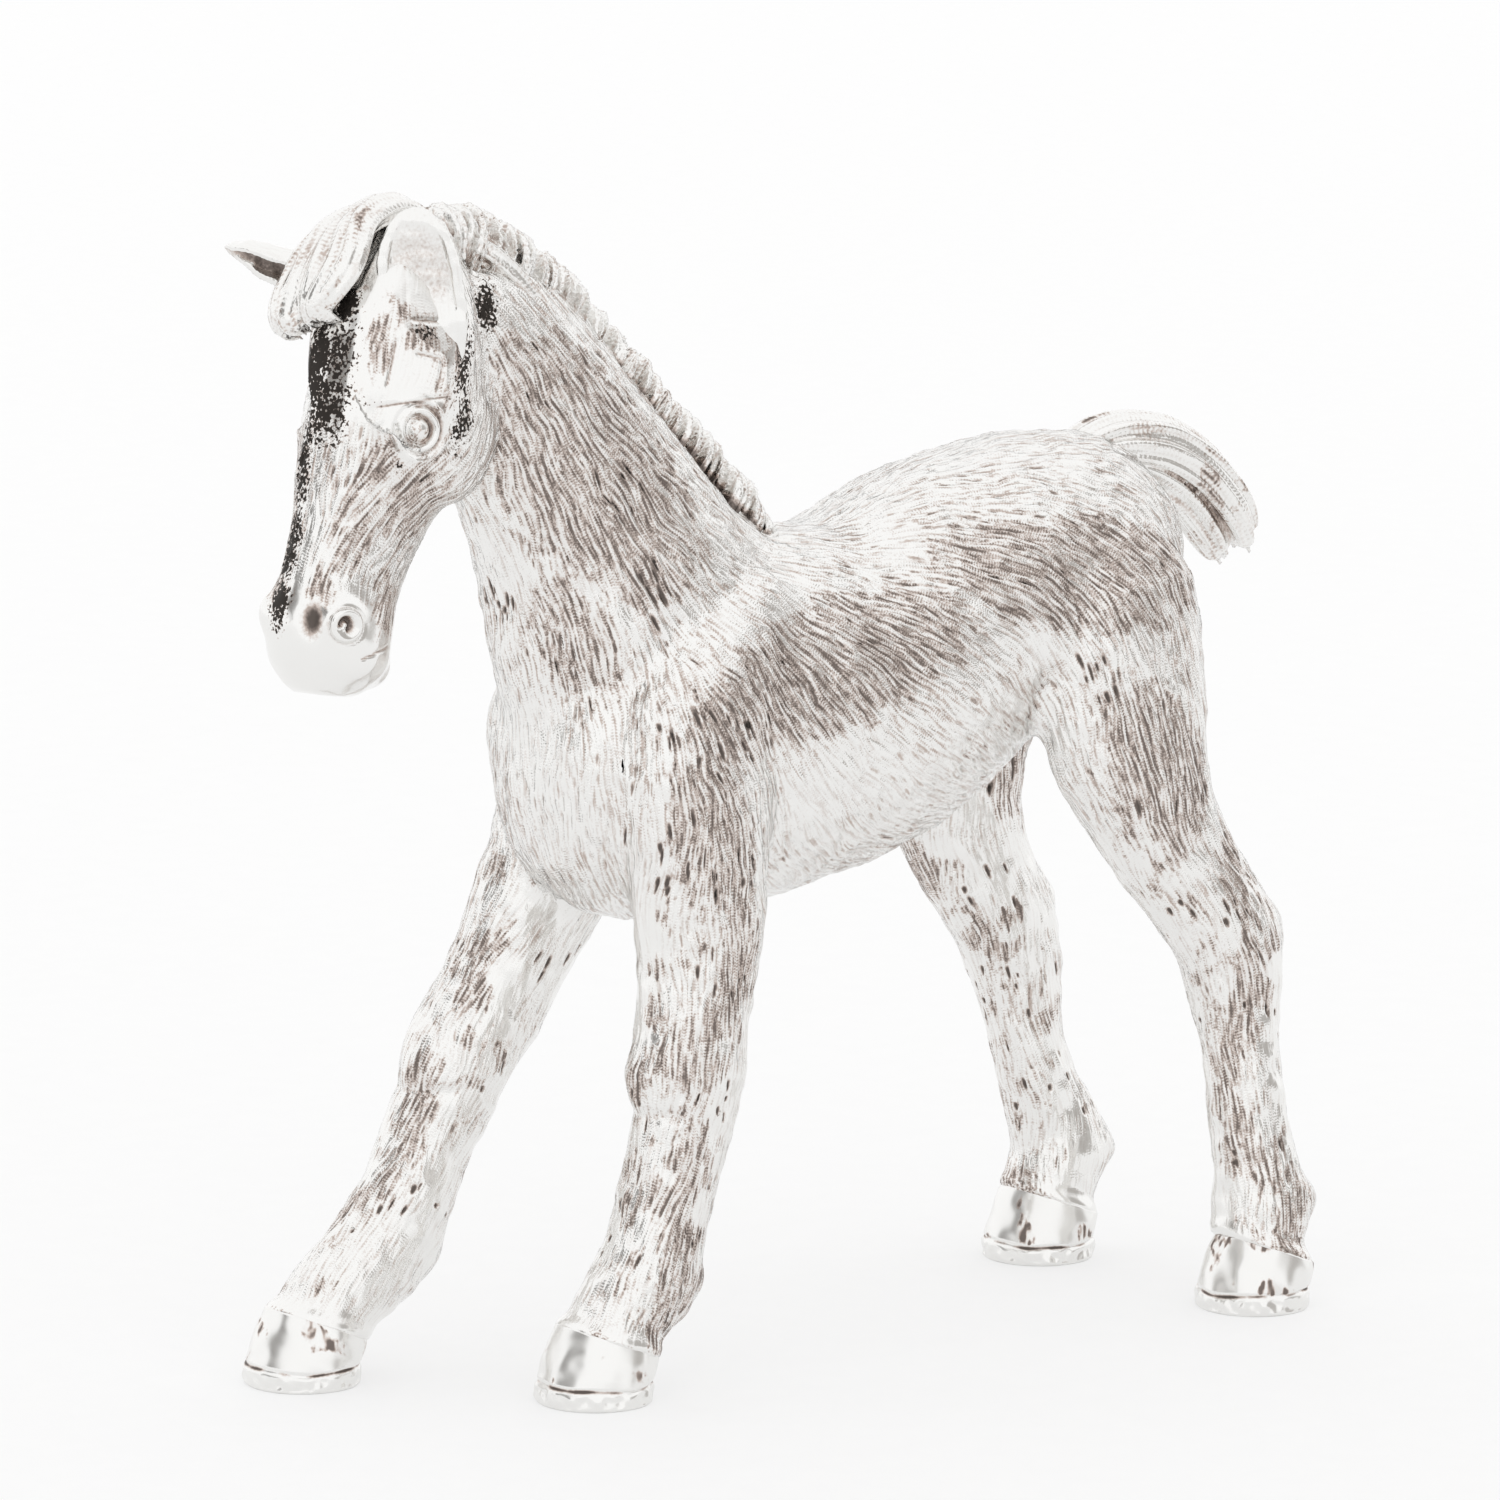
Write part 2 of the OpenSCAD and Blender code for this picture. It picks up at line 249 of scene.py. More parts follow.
# ---- the body's skin ----
def base_skin():
    """Coarse all-quad skin over every body and hoof node, with the body node that each face belongs to."""
    points, faces = joined([node_arrays(name) for name in BODY_NODES + HOOVES])
    points, quads = remeshed(points, faces, BODY_VOXEL, 12)
    centres = points[quads].mean(axis=1)
    distance = np.empty((len(quads), len(BODY_NODES)))
    for k, name in enumerate(BODY_NODES):
        node_points, node_faces = node_arrays(name)
        tree = BVHTree.FromPolygons(node_points.tolist(), node_faces.tolist())
        distance[:, k] = [tree.find_nearest(centre)[3] for centre in centres.tolist()]
    label = distance.argmin(axis=1)
    for _ in range(4):
        votes = scatter(quads.ravel(), np.repeat(np.eye(len(BODY_NODES))[label], 4, axis=0), len(points))
        label = votes[quads].sum(axis=1).argmax(axis=1)
    return points, quads, label


def fine_skin(points, quads, label):
    mesh = make_mesh("skin", points, quads)
    mesh.polygons.foreach_set("material_index", label.astype(np.int32))
    mesh = modified(mesh, "SUBSURF", levels=BODY_LEVELS, render_levels=BODY_LEVELS)
    fine_label = np.empty(len(mesh.polygons), np.int32)
    mesh.polygons.foreach_get("material_index", fine_label)
    return mesh_points(mesh), mesh_quads(mesh), fine_label


CORONET_SLOPE = math.radians(22)
CORONET_RADIUS = 2.7


class Hoof:
    """Places on one hoof, from its CAD box: the sole's centre and radius and the sloping coronet."""

    def __init__(self, name):
        low, high = node_box(name)
        self.name = name
        self.radius = (high[0] - low[0]) / 2
        self.sole = np.array([(low[0] + high[0]) / 2, low[1] + self.radius, 0])
        self.coronet = self.sole + [0, 0.7, high[2] - CORONET_RADIUS * math.sin(CORONET_SLOPE)]
        self.up = np.array([0, math.sin(CORONET_SLOPE), math.cos(CORONET_SLOPE)])
        self.back = np.array([0, math.cos(CORONET_SLOPE), -math.sin(CORONET_SLOPE)])

    def above(self, points):
        return (points - self.coronet) @ self.up


hooves = [Hoof(name) for name in HOOVES]


def nearest_hoof(points):
    return np.argmin([np.linalg.norm((points - hoof.coronet)[:, :2], axis=1) for hoof in hooves], axis=0)


def above_coronet(points):
    heights = np.array([hoof.above(points) for hoof in hooves])
    near = nearest_hoof(points)
    low = points[:, 2] < 6
    return np.where(low, heights[near, np.arange(len(points))], 99.0)


def tuck_coronets(points):
    """Folds the leg in under the coronet, so that the coat ends in a clean lip over the hoof wall."""
    height = above_coronet(points)
    near = nearest_hoof(points)
    centre = np.array([hoof.coronet for hoof in hooves])[near]
    outward = points - centre
    ups = np.array([hoof.up for hoof in hooves])[near]
    outward -= ups * (outward * ups).sum(axis=1, keepdims=True)
    outward = unit(outward)
    lip = 0.12 * bell(height - 0.25, 0.35) - 0.55 * ramp(-height, 0, 0.45)
    return points + outward * np.where(height < 5, lip, 0)[:, None]


# ---- the head ----
EYE_AXIS = unit([0.74, -0.67, 0.0])
NOSTRIL_AXIS = unit([0.66, -0.74, -0.1])
head_points, head_faces = node_arrays("head")
head_points = to_head(head_points)
head_length = -head_points[:, 2].min()
head_tree = BVHTree.FromPolygons(head_points.tolist(), head_faces.tolist())


def on_head(share, direction):
    """The place on the CAD head at a share of its length from the poll, in a level direction."""
    level = np.array([0, 0, -share * head_length])
    direction = unit(direction)
    return np.array(head_tree.ray_cast((level + direction * 20).tolist(), (-direction).tolist())[0])


EYE = on_head(0.4, [1, -0.4, 0])
NOSTRIL = on_head(0.85, [1, -1, 0])
FRONT_NOSTRIL = on_head(0.85, [1, -3, 0])


def around(local, centre, axis):
    """Distance from an axis, angle round it and height along it, on the given side."""
    offset = local - centre
    height = offset @ axis
    flat = offset - height[:, None] * axis
    side = unit(np.cross([0, 0, 1.0], axis))
    angle = np.degrees(np.arctan2(flat[:, 2], flat @ side))
    return np.linalg.norm(flat, axis=1), angle, height


def eye_form(local):
    """Relief and darkness of the ball, the lid round it and the socket line, which is open at the front."""
    out, angle, height = around(local, EYE, EYE_AXIS)
    near = ramp(height, -2.6, -1.6)
    socket = bell(out - 1.2, 0.1) * ramp(np.abs(angle - 175), 40, 70)
    lid_line = bell(out - 0.62, 0.12)
    relief = 0.24 * bell(out, 0.45) - 0.2 * lid_line + 0.16 * bell(out - 0.9, 0.14)
    relief += 0.08 * bell(out - 1.45, 0.16) - 0.16 * socket
    shade = 0.55 + 0.35 * np.cos(np.radians(angle - 30))
    return near * relief, near * (0.8 * lid_line * shade + 0.75 * socket * shade)


def nostril_form(local):
    out, angle, height = around(local, NOSTRIL, NOSTRIL_AXIS)
    near = ramp(height, -1.6, -0.9)
    arc = bell(out - 0.27, 0.15) * ramp(np.abs(angle + 110), 25, 55)
    rim = bell(out - 0.9, 0.08)
    relief = -0.3 * arc - 0.06 * bell(out, 0.4) + 0.2 * bell(out - 0.62, 0.18) - 0.08 * rim
    return near * relief, near * (0.9 * arc + 0.3 * rim)


def cut_flat(local, point, normal, share=0.85):
    """Planes the surface off where it stands above a facet."""
    normal = unit(normal)
    above = (local - point) @ normal
    near = bell(np.linalg.norm(local - point, axis=1), 3.0) > 0.2
    return local - normal * (np.where(near, np.maximum(above, 0), 0) * share)[:, None]


# Facets round the eye: a place on each, in head axes, and the way it faces
FACETS = [
    ([3.5, -1.3, -6.0], [0.8, -0.58, -0.1]),
    ([2.95, -2.9, -6.0], [0.66, -0.74, 0.16]),
    ([3.4, -0.6, -3.4], [0.84, -0.4, 0.34]),
    ([2.4, -3.2, -3.8], [0.5, -0.82, 0.28]),
]
# Cuts of the graver on the flat of the face: start and end, each as millimetres behind and above the eye
SCRATCHES = [
    ((-1.5, 5), (1, 5.5)), ((-1, 3.5), (0.5, 3.5)), ((-2, 4), (-2, 1.5)), ((0.5, 3.5), (0.5, 2)),
    ((-2.5, 0.5), (1.5, 2)),
]
# The mouth, in the same way from the nostril
MOUTH = ((1, -1.5), (2.5, -0.5))


def along(local, centre, axis, start, end):
    """Distance from a straight cut, seen along an axis through a centre, and how far along it, 0 to 1."""
    out, angle, height = around(local, centre, axis)
    flat = np.stack([out * np.cos(np.radians(angle)), out * np.sin(np.radians(angle))], 1)
    run = np.subtract(end, start)
    t = np.clip(((flat - start) @ run) / (run @ run), 0, 1)
    away = np.linalg.norm(flat - start - t[:, None] * run, axis=1)
    return np.where(height > -3, away, 9.0), t


def sculpt_head(points, quads, mask):
    """Facets, face front, eyes, nostrils and mouth, in head axes. Returns points and dark hollows."""
    chosen = np.flatnonzero(mask)
    local = to_head(points[chosen])
    mirror = np.array([-1, 1, 1.0])
    sides = [np.ones(3), mirror]
    for side in sides:
        turned = local * side
        for point, normal in FACETS:
            turned = cut_flat(turned, np.array(point), normal)
        if side[0] < 0:
            turned = cut_flat(turned, EYE - EYE_AXIS, EYE_AXIS, 0.75)
        local = turned * side
    face = ramp(-local[:, 1], 2.2, 3.4) * ramp(-local[:, 2], 3, 5) * ramp(local[:, 2], -18.5, -13.5)
    centre = local[:, 0] + 0.35
    local[:, 1] += 0.07 * face * ramp(1.45 - np.abs(centre), 0, 0.6)
    points[chosen] = from_head(local)
    normals = to_head(normals_of(points, quads)[chosen] + POLL)
    relief = np.zeros(len(local))
    dark = np.zeros(len(local))
    for side in sides:
        turned = local * side
        share = 1.0 if side[0] > 0 else 0.4
        lift, shade = eye_form(turned)
        relief += share * lift
        dark += share * shade
        if side[0] > 0:
            lift, shade = nostril_form(turned)
            relief += lift
            dark += shade
        cuts = [(EYE, EYE_AXIS, *cut) for cut in SCRATCHES] + [(NOSTRIL, NOSTRIL_AXIS, *MOUTH)]
        for cut in cuts:
            away, t = along(turned, *cut)
            line = bell(away, 0.07) * ramp(t, 0, 0.1) * ramp(1 - t, 0, 0.1)
            relief -= 0.08 * line
            dark += 0.6 * share * line
    dark = np.clip(dark, 0, 0.8)
    second = bell(np.linalg.norm((local - FRONT_NOSTRIL) / [0.42, 0.8, 0.75], axis=1), 1.0)
    relief -= 0.25 * second
    dark += 1.1 * second
    points[chosen] = points[chosen] + (normals @ HEAD_AXES.T) * relief[:, None]
    hollow = np.zeros(len(points))
    hollow[chosen] = np.clip(dark, 0, 1)
    return points, hollow


# Where the graver has dug deepest: node, and shares of its box from front to back and from low to high
DEEP_CUTS = [
    ("neck", 0.25, 0.25), ("neck", 0.5, 0.5),
    ("torso", 0.1, 0.25), ("torso", 0.1, 0.75), ("torso", 0.75, 0.5),
]
DEEP_SPREAD = 1.4


# Black on the head, partly tarnish and partly painted reflection (the stripe down the front of the face):
# place, reach across, back and up the face, and strength
TARNISH_AND_REFLECTION = [
    ([-0.2, -3.8, -8.6], [1.6, 1.7, 2.3], 0.68),
    ([-1.0, -4.0, -6.8], [1.1, 2.0, 3.0], 0.85),
    ([0.3, -4.0, -6.4], [1.2, 1.6, 3.0], 0.6),
    ([-1.1, -3.4, -11.2], [0.8, 1.5, 2.8], 0.75),
    ([-1.0, -3.4, -15.4], [0.75, 1.5, 2.8], 0.8),
    ([-0.8, -3.8, -18.2], [0.75, 1.5, 1.3], 0.85),
    ([4.2, 0.7, -5.0], [2.0, 0.9, 2.2], 0.62),
    ([4.3, 1.3, -7.9], [2.0, 0.8, 1.9], 0.6),
    (EYE + [0, 4, 7], [2.0, 0.7, 1.5], 0.8),
    (EYE - [0.5, 0, 2], [0.8, 0.5, 0.5], 0.6),
    ([2.4, -3.5, -8.1], [1.1, 0.9, 0.4], 0.5),
    ([3.5, -1.8, -4.3], [1.0, 1.1, 0.6], 0.5),
    ([0.1, -3.8, -3.6], [0.7, 1.2, 1.0], 0.85),
]
# Brown on the head, in the same way: painted reflection of darker parts of the room
HEAD_BROWN = [
    ([3.0, 0.2, -12.0], [2.0, 2.4, 3.4], 0.9),
    ([2.6, -2.6, -11.0], [1.4, 1.2, 1.8], 1.0),
    ([2.0, -2.8, -14.4], [1.4, 1.6, 2.6], 0.8),
    ([2.8, 0.4, -17.0], [1.4, 1.6, 2.0], 0.8),
    ([1.3, -3.4, -17.2], [0.8, 1.0, 0.9], 1.0),
    ([2.1, -3.6, -5.2], [0.7, 0.9, 2.2], 0.9),
    ([2.8, -2.6, -3.4], [1.6, 1.4, 0.7], 0.8),
    ([3.5, -1.8, -4.6], [0.9, 1.2, 0.8], 1.1),
    ([3.9, -0.2, -5.5], [0.9, 1.0, 3.0], 0.7),
    (EYE, [1.0, 1.3, 1.3], 0.6),
    ([2.2, -2.4, -0.9], [0.5, 0.5, 0.5], 0.8),
]
# Painted reflection of darker parts of the room, laid on as brown bands on both flanks: y, z, half length,
# half width, slope in degrees and strength
BANDS = [
    (-13.2, 45.6, 8.0, 4.2, -52, 1.0),
    (-13.6, 37.0, 3.6, 1.6, -68, 0.8),
    (-1.2, 34.8, 9.5, 3.1, 14, 1.0),
    (14.6, 38.4, 8.0, 2.9, -6, 1.0),
    (18.4, 28.4, 5.0, 3.0, -65, 1.0),
    (-8.6, 27.6, 4.2, 2.4, -75, 0.9),
]


def head_spots(points, spots, sides):
    """Strongest of a list of soft spots in the head's axes, on the named sides."""
    local = to_head(points)
    dark = np.zeros(len(points))
    for side in sides:
        for place, reach, strength in spots:
            away = np.linalg.norm((local * [side, 1, 1] - place) / reach, axis=1)
            dark = np.maximum(dark, strength * bell(away, 1.0))
    return dark


# Black on the head and neck: partly tarnish, partly painted reflection of a dark part of the room
def black_of(points, owner):
    high = (owner == BODY_NODES.index("head")) | (owner == BODY_NODES.index("neck"))
    near_side = head_spots(points, TARNISH_AND_REFLECTION, [1])
    far_side = head_spots(points, [spot for spot in TARNISH_AND_REFLECTION if spot[0][0] > 2], [-1])
    return np.where(high, np.maximum(near_side, far_side), 0)


def leg_share(points, owner):
    return np.isin(owner, [BODY_NODES.index(name) for name in LEGS]) * ramp(points[:, 2], 27, 23)


def leg_streak(points, normals):
    """Painted reflection, as a brown streak that winds down each leg where the surface faces a turning
    direction: outside on the left, toward the inside on the right.
    """
    outer = np.sign(points[:, 0] - MIDLINE)
    turn = np.radians(np.where(outer > 0, 58, -24) + 24 * np.cos((points[:, 2] - 23) * math.pi / 9.5))
    facing = normals[:, 0] * outer * np.sin(turn) - normals[:, 1] * np.cos(turn)
    return ramp(facing + 0.12 * ripple(points, 1.6, 62), 0.4, 0.85)


# Brown as painted reflection: bands on the flanks, spots on the head and a streak down each leg
def brown_of(points, normals, owner):
    brown = np.zeros(len(points))
    for y, z, length, width, slope, strength in BANDS:
        c, s = math.cos(math.radians(slope)), math.sin(math.radians(slope))
        dy, dz = points[:, 1] - y, points[:, 2] - z
        away = np.hypot((dy * c + dz * s) / length, (dz * c - dy * s) / width)
        brown = np.maximum(brown, strength * ramp(away, 1.45, 0.55))
    # Painted reflection: the bands fall only where the surface faces to the side
    brown *= ramp(np.abs(normals[:, 0]), 0.15, 0.5)
    head = owner == BODY_NODES.index("head")
    brown = np.where(head, head_spots(points, HEAD_BROWN, [1, -1]), brown)
    patches = 0.35 + 0.65 * ramp(ripple(points * [1, 1, 0.5], 3.4, 61), -0.6, 1.0)
    return np.maximum(brown, leg_share(points, owner) * leg_streak(points, normals) * patches)


# ---- how the coat lies ----
# Guides on the body: y, z and the hair's direction along y and z
COAT_GUIDES = [
    (-20, 54, 0.5, -0.86), (-15, 50, 0.62, -0.78), (-17, 46, 0.3, -0.95), (-11, 46, 0.66, -0.75),
    (-13, 41, 0.35, -0.94), (-6, 43, 0.74, -0.67), (-8, 38, 0.55, -0.83), (-12, 35, 0.2, -0.98),
    (-14, 30, 0.0, -1.0), (-12, 25, 0.2, -0.98), (-5, 34, 0.5, -0.86), (-6, 29, 0.35, -0.94),
    (-1, 41, 0.9, -0.43), (0, 36, 0.74, -0.67), (-1, 31, 0.66, -0.75), (0, 26, 0.7, -0.71),
    (6, 41, 0.95, -0.3), (6, 36, 0.82, -0.57), (5, 31, 0.78, -0.62), (5, 26, 0.88, -0.47),
    (11, 43, 0.97, -0.2), (11, 38, 0.84, -0.54), (10, 33, 0.76, -0.65), (10, 29, 0.85, -0.52),
    (17, 44, 0.96, -0.28), (16, 39, 0.7, -0.71), (15, 34, 0.35, -0.94), (21, 42, 0.6, -0.8),
    (22, 37, 0.25, -0.97), (19, 33, 0.12, -0.99), (17, 29, 0.2, -0.98), (24, 40, 0.3, -0.95),
]
# Guides on the head, in its own axes, for the left side: place and direction
HEAD_GUIDES = [
    ([3, 3, -1], [0.1, 0.5, -0.86]), ([3.8, 3, -5], [0, 0.25, -0.97]), ([3.6, 4, -8], [0, -0.2, -0.98]),
    ([4, 0, -9.5], [0, -0.5, -0.87]), ([3.4, 2.5, -11], [0, -0.6, -0.8]), ([3, -1, -12.5], [0, -0.55, -0.83]),
    ([2.6, 1, -14.5], [0, -0.55, -0.83]), ([2.4, -2, -15.5], [0, -0.4, -0.92]),
    ([2.4, 1.6, -17.5], [0, -0.3, -0.95]),
    ([0, -4, -5], [0, 0, -1]), ([0, -4, -11], [0, 0, -1]), ([0, -3.6, -17], [0, 0, -1]),
    ([1.5, 3.5, -14], [0, -0.3, -0.95]), ([3.4, -1.5, -4.5], [0, 0.1, -1]),
]


def weighed(points, places, directions, width):
    """Direction at each point from guides, the near ones counting most."""
    total = np.zeros((len(points), 3))
    for place, direction in zip(places, directions):
        weight = np.exp(-((points - place) ** 2).sum(axis=1) / (2 * width**2)) + 1e-12
        total += weight[:, None] * np.asarray(direction, float)
    return unit(total)


def leg_line(name):
    """Middle of a leg from the top down, in slices of its CAD node."""
    points, _ = node_arrays(name)
    levels = np.arange(points[:, 2].max() - 4, points[:, 2].min() + 1, -2.0)
    return np.array([points[np.abs(points[:, 2] - z) < 1.5].mean(axis=0) for z in levels])


def coat_flow(points, normals, owner):
    """Unit direction in which the hair lies, at each point of the skin."""
    side = points.copy()
    side[:, 0] = 0
    places = [(0, y, z) for y, z, _, _ in COAT_GUIDES]
    directions = [(0, dy, dz) for _, _, dy, dz in COAT_GUIDES]
    flow = weighed(side, np.array(places, float), directions, 2.6)
    for k, name in enumerate(BODY_NODES):
        chosen = np.flatnonzero(owner == k)
        if name == "head":
            local = to_head(points[chosen])
            local[:, 0] = np.abs(local[:, 0])
            places = np.array([place for place, _ in HEAD_GUIDES], float)
            direction = weighed(local, places, [d for _, d in HEAD_GUIDES], 1.8)
            flow[chosen] = direction @ HEAD_AXES.T
        elif name in LEGS:
            line = leg_line(name)
            runs = unit(line[1:] - line[:-1])
            down = weighed(points[chosen], (line[1:] + line[:-1]) / 2, runs, 1.6)
            share = ramp(points[chosen, 2], 31, 26)[:, None]
            flow[chosen] = unit(flow[chosen] * (1 - share) + down * share)
    flow = flow + 0.1 * np.stack([ripple(points, 2.5, seed) for seed in (1, 2, 3)], 1)
    return unit(flow - normals * (flow * normals).sum(axis=1, keepdims=True))


def coat_depth(points, owner):
    """How deep the graver has cut at each point: 1 on the body, little on polished parts of the face."""
    depth = np.ones(len(points))
    chosen = np.flatnonzero(owner == BODY_NODES.index("head"))
    local = to_head(points[chosen])
    side = np.abs(local[:, 0])
    muzzle = ramp(local[:, 2], -16.2, -17.6)
    front = ramp(-local[:, 1], 2.6, 3.4) * ramp(2.6 - 2.2 * ramp(-local[:, 2], 8.5, 10.5) - side, 0, 0.6)
    upper = ramp(local[:, 2], -9.5, -7.5) * ramp(1.6 - local[:, 1], 0, 1.2)
    mirrored = np.column_stack([side, local[:, 1:]])
    out = np.linalg.norm(mirrored - EYE, axis=1)
    socket = ramp(2.2 - out, 0, 0.5)
    plain = np.clip(muzzle + 0.85 * front + 0.9 * upper + socket, 0, 1)
    depth[chosen] = 1 - plain
    height = above_coronet(points)
    depth *= np.where(height < 5, ramp(height, 0.1, 0.9), 1)
    return depth


def deep_spots(points):
    """Skin points of each place with deep cuts: some on the neck and body, and every 6 mm down each leg."""
    spots = []
    for name, back, up in DEEP_CUTS:
        low, high = node_box(name)
        place = low + (high - low) * [0, back, up]
        spots.append(np.flatnonzero(np.linalg.norm((points - place)[:, 1:], axis=1) < DEEP_SPREAD))
    for name in LEGS:
        for centre in leg_line(name)[2::3]:
            spots.append(np.flatnonzero(np.linalg.norm((points - centre) * [1, 1, 2], axis=1) < 3.5))
    return spots


def engrave(points, normals, flow, depth):
    """Cuts short tapered grooves along the coat. Returns the points and each one's groove and gash."""
    random = np.random.default_rng(11)
    tree = kdtree.KDTree(len(points))
    for index, point in enumerate(points.tolist()):
        tree.insert(point, index)
    tree.balance()
    sink = np.zeros(len(points))
    groove = np.zeros(len(points))
    gash = np.zeros(len(points))
    seeds = random.integers(0, len(points), STROKES).tolist()
    deep = len(seeds)
    for found in deep_spots(points):
        seeds += random.choice(found, 14).tolist() if len(found) else []
    patch = ripple(points[seeds], 4.0, 21)
    for order, (seed, rough) in enumerate(zip(seeds, patch)):
        half = random.uniform(0.35, 0.85)
        width = random.uniform(0.08, 0.125)
        bite = depth[seed] * random.uniform(0.035, 0.085) * (1 + 0.3 * rough)
        tint = 0.15 + 0.85 * random.uniform() ** 4
        if order >= deep:
            half, width, bite, tint = random.uniform(0.25, 0.9), random.uniform(0.08, 0.17), 0.1, 1.0
            half *= 0.65 + 0.35 * ramp(points[seed][2], 20, 27)
        if bite < 0.012:
            continue
        heading = flow[seed]
        across = np.cross(normals[seed], heading)
        near = np.array([found[1] for found in tree.find_range(points[seed], half + 0.2)])
        offset = points[near] - points[seed]
        s = (offset @ heading) / half
        t = np.abs(offset @ across) / (width * np.clip(1.1 - 0.35 * s, 0.5, 1.4))
        level = np.abs(offset @ normals[seed]) < 0.7
        taper = np.clip(1 - s * s, 0, 1) * level
        cut = np.clip(1 - t * t, 0, 1) * taper
        lip = np.clip(1 - (t - 1.45) ** 2 / 0.2, 0, 1) * taper
        sink[near] = np.maximum(sink[near], bite * cut) - 0.25 * bite * lip * (sink[near] < bite)
        groove[near] = np.maximum(groove[near], cut * tint * min(1.0, bite / 0.05))
        if order >= deep:
            gash[near] = np.maximum(gash[near], cut)
    sink = np.clip(sink, -0.05, 0.16)
    return points - normals * sink[:, None], groove, gash


def shape_body(points, quads, owner):
    """Lowers the crest round the mane's roots and brings out the knees, fetlocks and hocks."""
    normals = normals_of(points, quads)
    crest = curve(CREST, 80)
    neck = np.flatnonzero(owner == BODY_NODES.index("neck"))
    away = np.linalg.norm((points[neck][:, None] - crest[None, 8:62]) * [0.55, 1, 1], axis=2).min(axis=1)
    push = np.zeros(len(points))
    push[neck] = -0.75 * bell(away, 1.3)
    for name in LEGS:
        leg = np.flatnonzero(owner == BODY_NODES.index(name))
        x, y, z = points[leg].T
        bumps = [(5.3, 1, 0.45, 1.0)]
        bumps += [(15.6, -1, 0.25, 1.3), (15.8, 1, 0.35, 1.5)] if "fore" in name else [(19.3, 1, 0.35, 1.2)]
        for height, way, size, reach in bumps:
            level = np.abs(z - height) < 0.6
            edge = way * (way * y[level]).max()
            place = np.array([x[level].mean(), edge, height])
            push[leg] += size * bell(np.linalg.norm((points[leg] - place) * [0.6, 1, 1], axis=1), reach)
        if "fore" in name:
            push[leg] -= 0.12 * bell(z - 13.9, 0.35) * ramp(-normals[leg][:, 1], 0, 0.6)
    return points + normals * push[:, None]


def body_pieces():
    points, quads, label = base_skin()
    points, quads, label = fine_skin(points, quads, label)
    owner = np.zeros(len(points), int)
    owner[quads.ravel()] = np.repeat(label, 4)
    is_head = owner == BODY_NODES.index("head")
    points = shape_body(points, quads, owner)
    normals = normals_of(points, quads)
    lumps = 0.05 * ripple(points, 5.0, 31) + 0.025 * ripple(points, 1.5, 32)
    lumps *= np.where(is_head, 0.35, 1) * ramp(above_coronet(points), 0.2, 1.5)
    points = points + normals * lumps[:, None]
    points = tuck_coronets(points)
    points, hollow = sculpt_head(points, quads, is_head)
    normals = normals_of(points, quads)
    flow = coat_flow(points, normals, owner)
    smooth = 0.35 + 0.6 * ramp(ripple(points, 2.6, 64), -0.4, 0.5)
    depth = coat_depth(points, owner)
    depth *= 1 - leg_share(points, owner) * smooth * (0.85 - 0.6 * leg_streak(points, normals))
    points, groove, gash = engrave(points, normals, flow, depth)
    hollow = np.maximum(hollow, gash)
    normals = normals_of(points, quads)
    tarnish = black_of(points, owner)
    brown = brown_of(points, normals, owner)
    shown = above_coronet(points[quads].mean(axis=1)) > -CORONET_DROP
    for k, name in enumerate(BODY_NODES):
        part = quads[(label == k) & shown]
        used, local_quads = np.unique(part, return_inverse=True)
        local_quads = local_quads.reshape(-1, 4).astype(np.int32)
        extra, caps = capped(points[used], local_quads)
        pad = len(extra)
        piece = finished(
            name + "_coat",
            np.concatenate([points[used], extra]),
            local_quads,
            caps,
            np.concatenate([normals[used], np.tile([0, 0, 1.0], (pad, 1))]),
            flow=np.concatenate([flow[used], np.tile([0, 0, -1.0], (pad, 1))]),
            groove=np.concatenate([groove[used], np.zeros(pad)]),
            hollow=np.concatenate([hollow[used], np.zeros(pad)]),
            coat=np.concatenate([depth[used], np.zeros(pad)]),
            tarnish=np.concatenate([tarnish[used], np.zeros(pad)]),
            brown=np.concatenate([brown[used], np.zeros(pad)]),
        )
        dress(piece, coat_silver, name)


def capped(points, quads):
    """Centre points and triangles that close each open edge loop of a skin, a little inside it."""
    edges = np.concatenate([quads[:, [k, (k + 1) % 4]] for k in range(4)])
    keys = set(map(tuple, edges.tolist()))
    following = {a: b for b, a in keys if (a, b) not in keys}
    extra, caps = [], []
    while following:
        start, after = following.popitem()
        loop = [start, after]
        while loop[-1] in following:
            loop.append(following.pop(loop[-1]))
        loop.pop()
        centre = len(points) + len(extra)
        extra.append(points[loop].mean(axis=0))
        for a, b in zip(loop, loop[1:] + loop[:1]):
            caps.append((a, b, centre))
    return np.array(extra).reshape(-1, 3), np.array(caps, np.int32).reshape(-1, 3)


# ---- hair ----
def curve(path, count):
    """Points and stations along a smooth curve through path, a list of rows of numbers."""
    path = np.asarray(path, float)
    padded = np.concatenate([[2 * path[0] - path[1]], path, [2 * path[-1] - path[-2]]])
    spots = np.linspace(0, len(path) - 1, count)
    first = np.minimum(spots.astype(int), len(path) - 2)
    t = (spots - first)[:, None]
    p, q, r, s = (padded[first + k] for k in range(4))
    return 0.5 * (2 * q + (r - p) * t + (2 * p - 5 * q + 4 * r - s) * t**2 + (3 * q - p - 3 * r + s) * t**3)


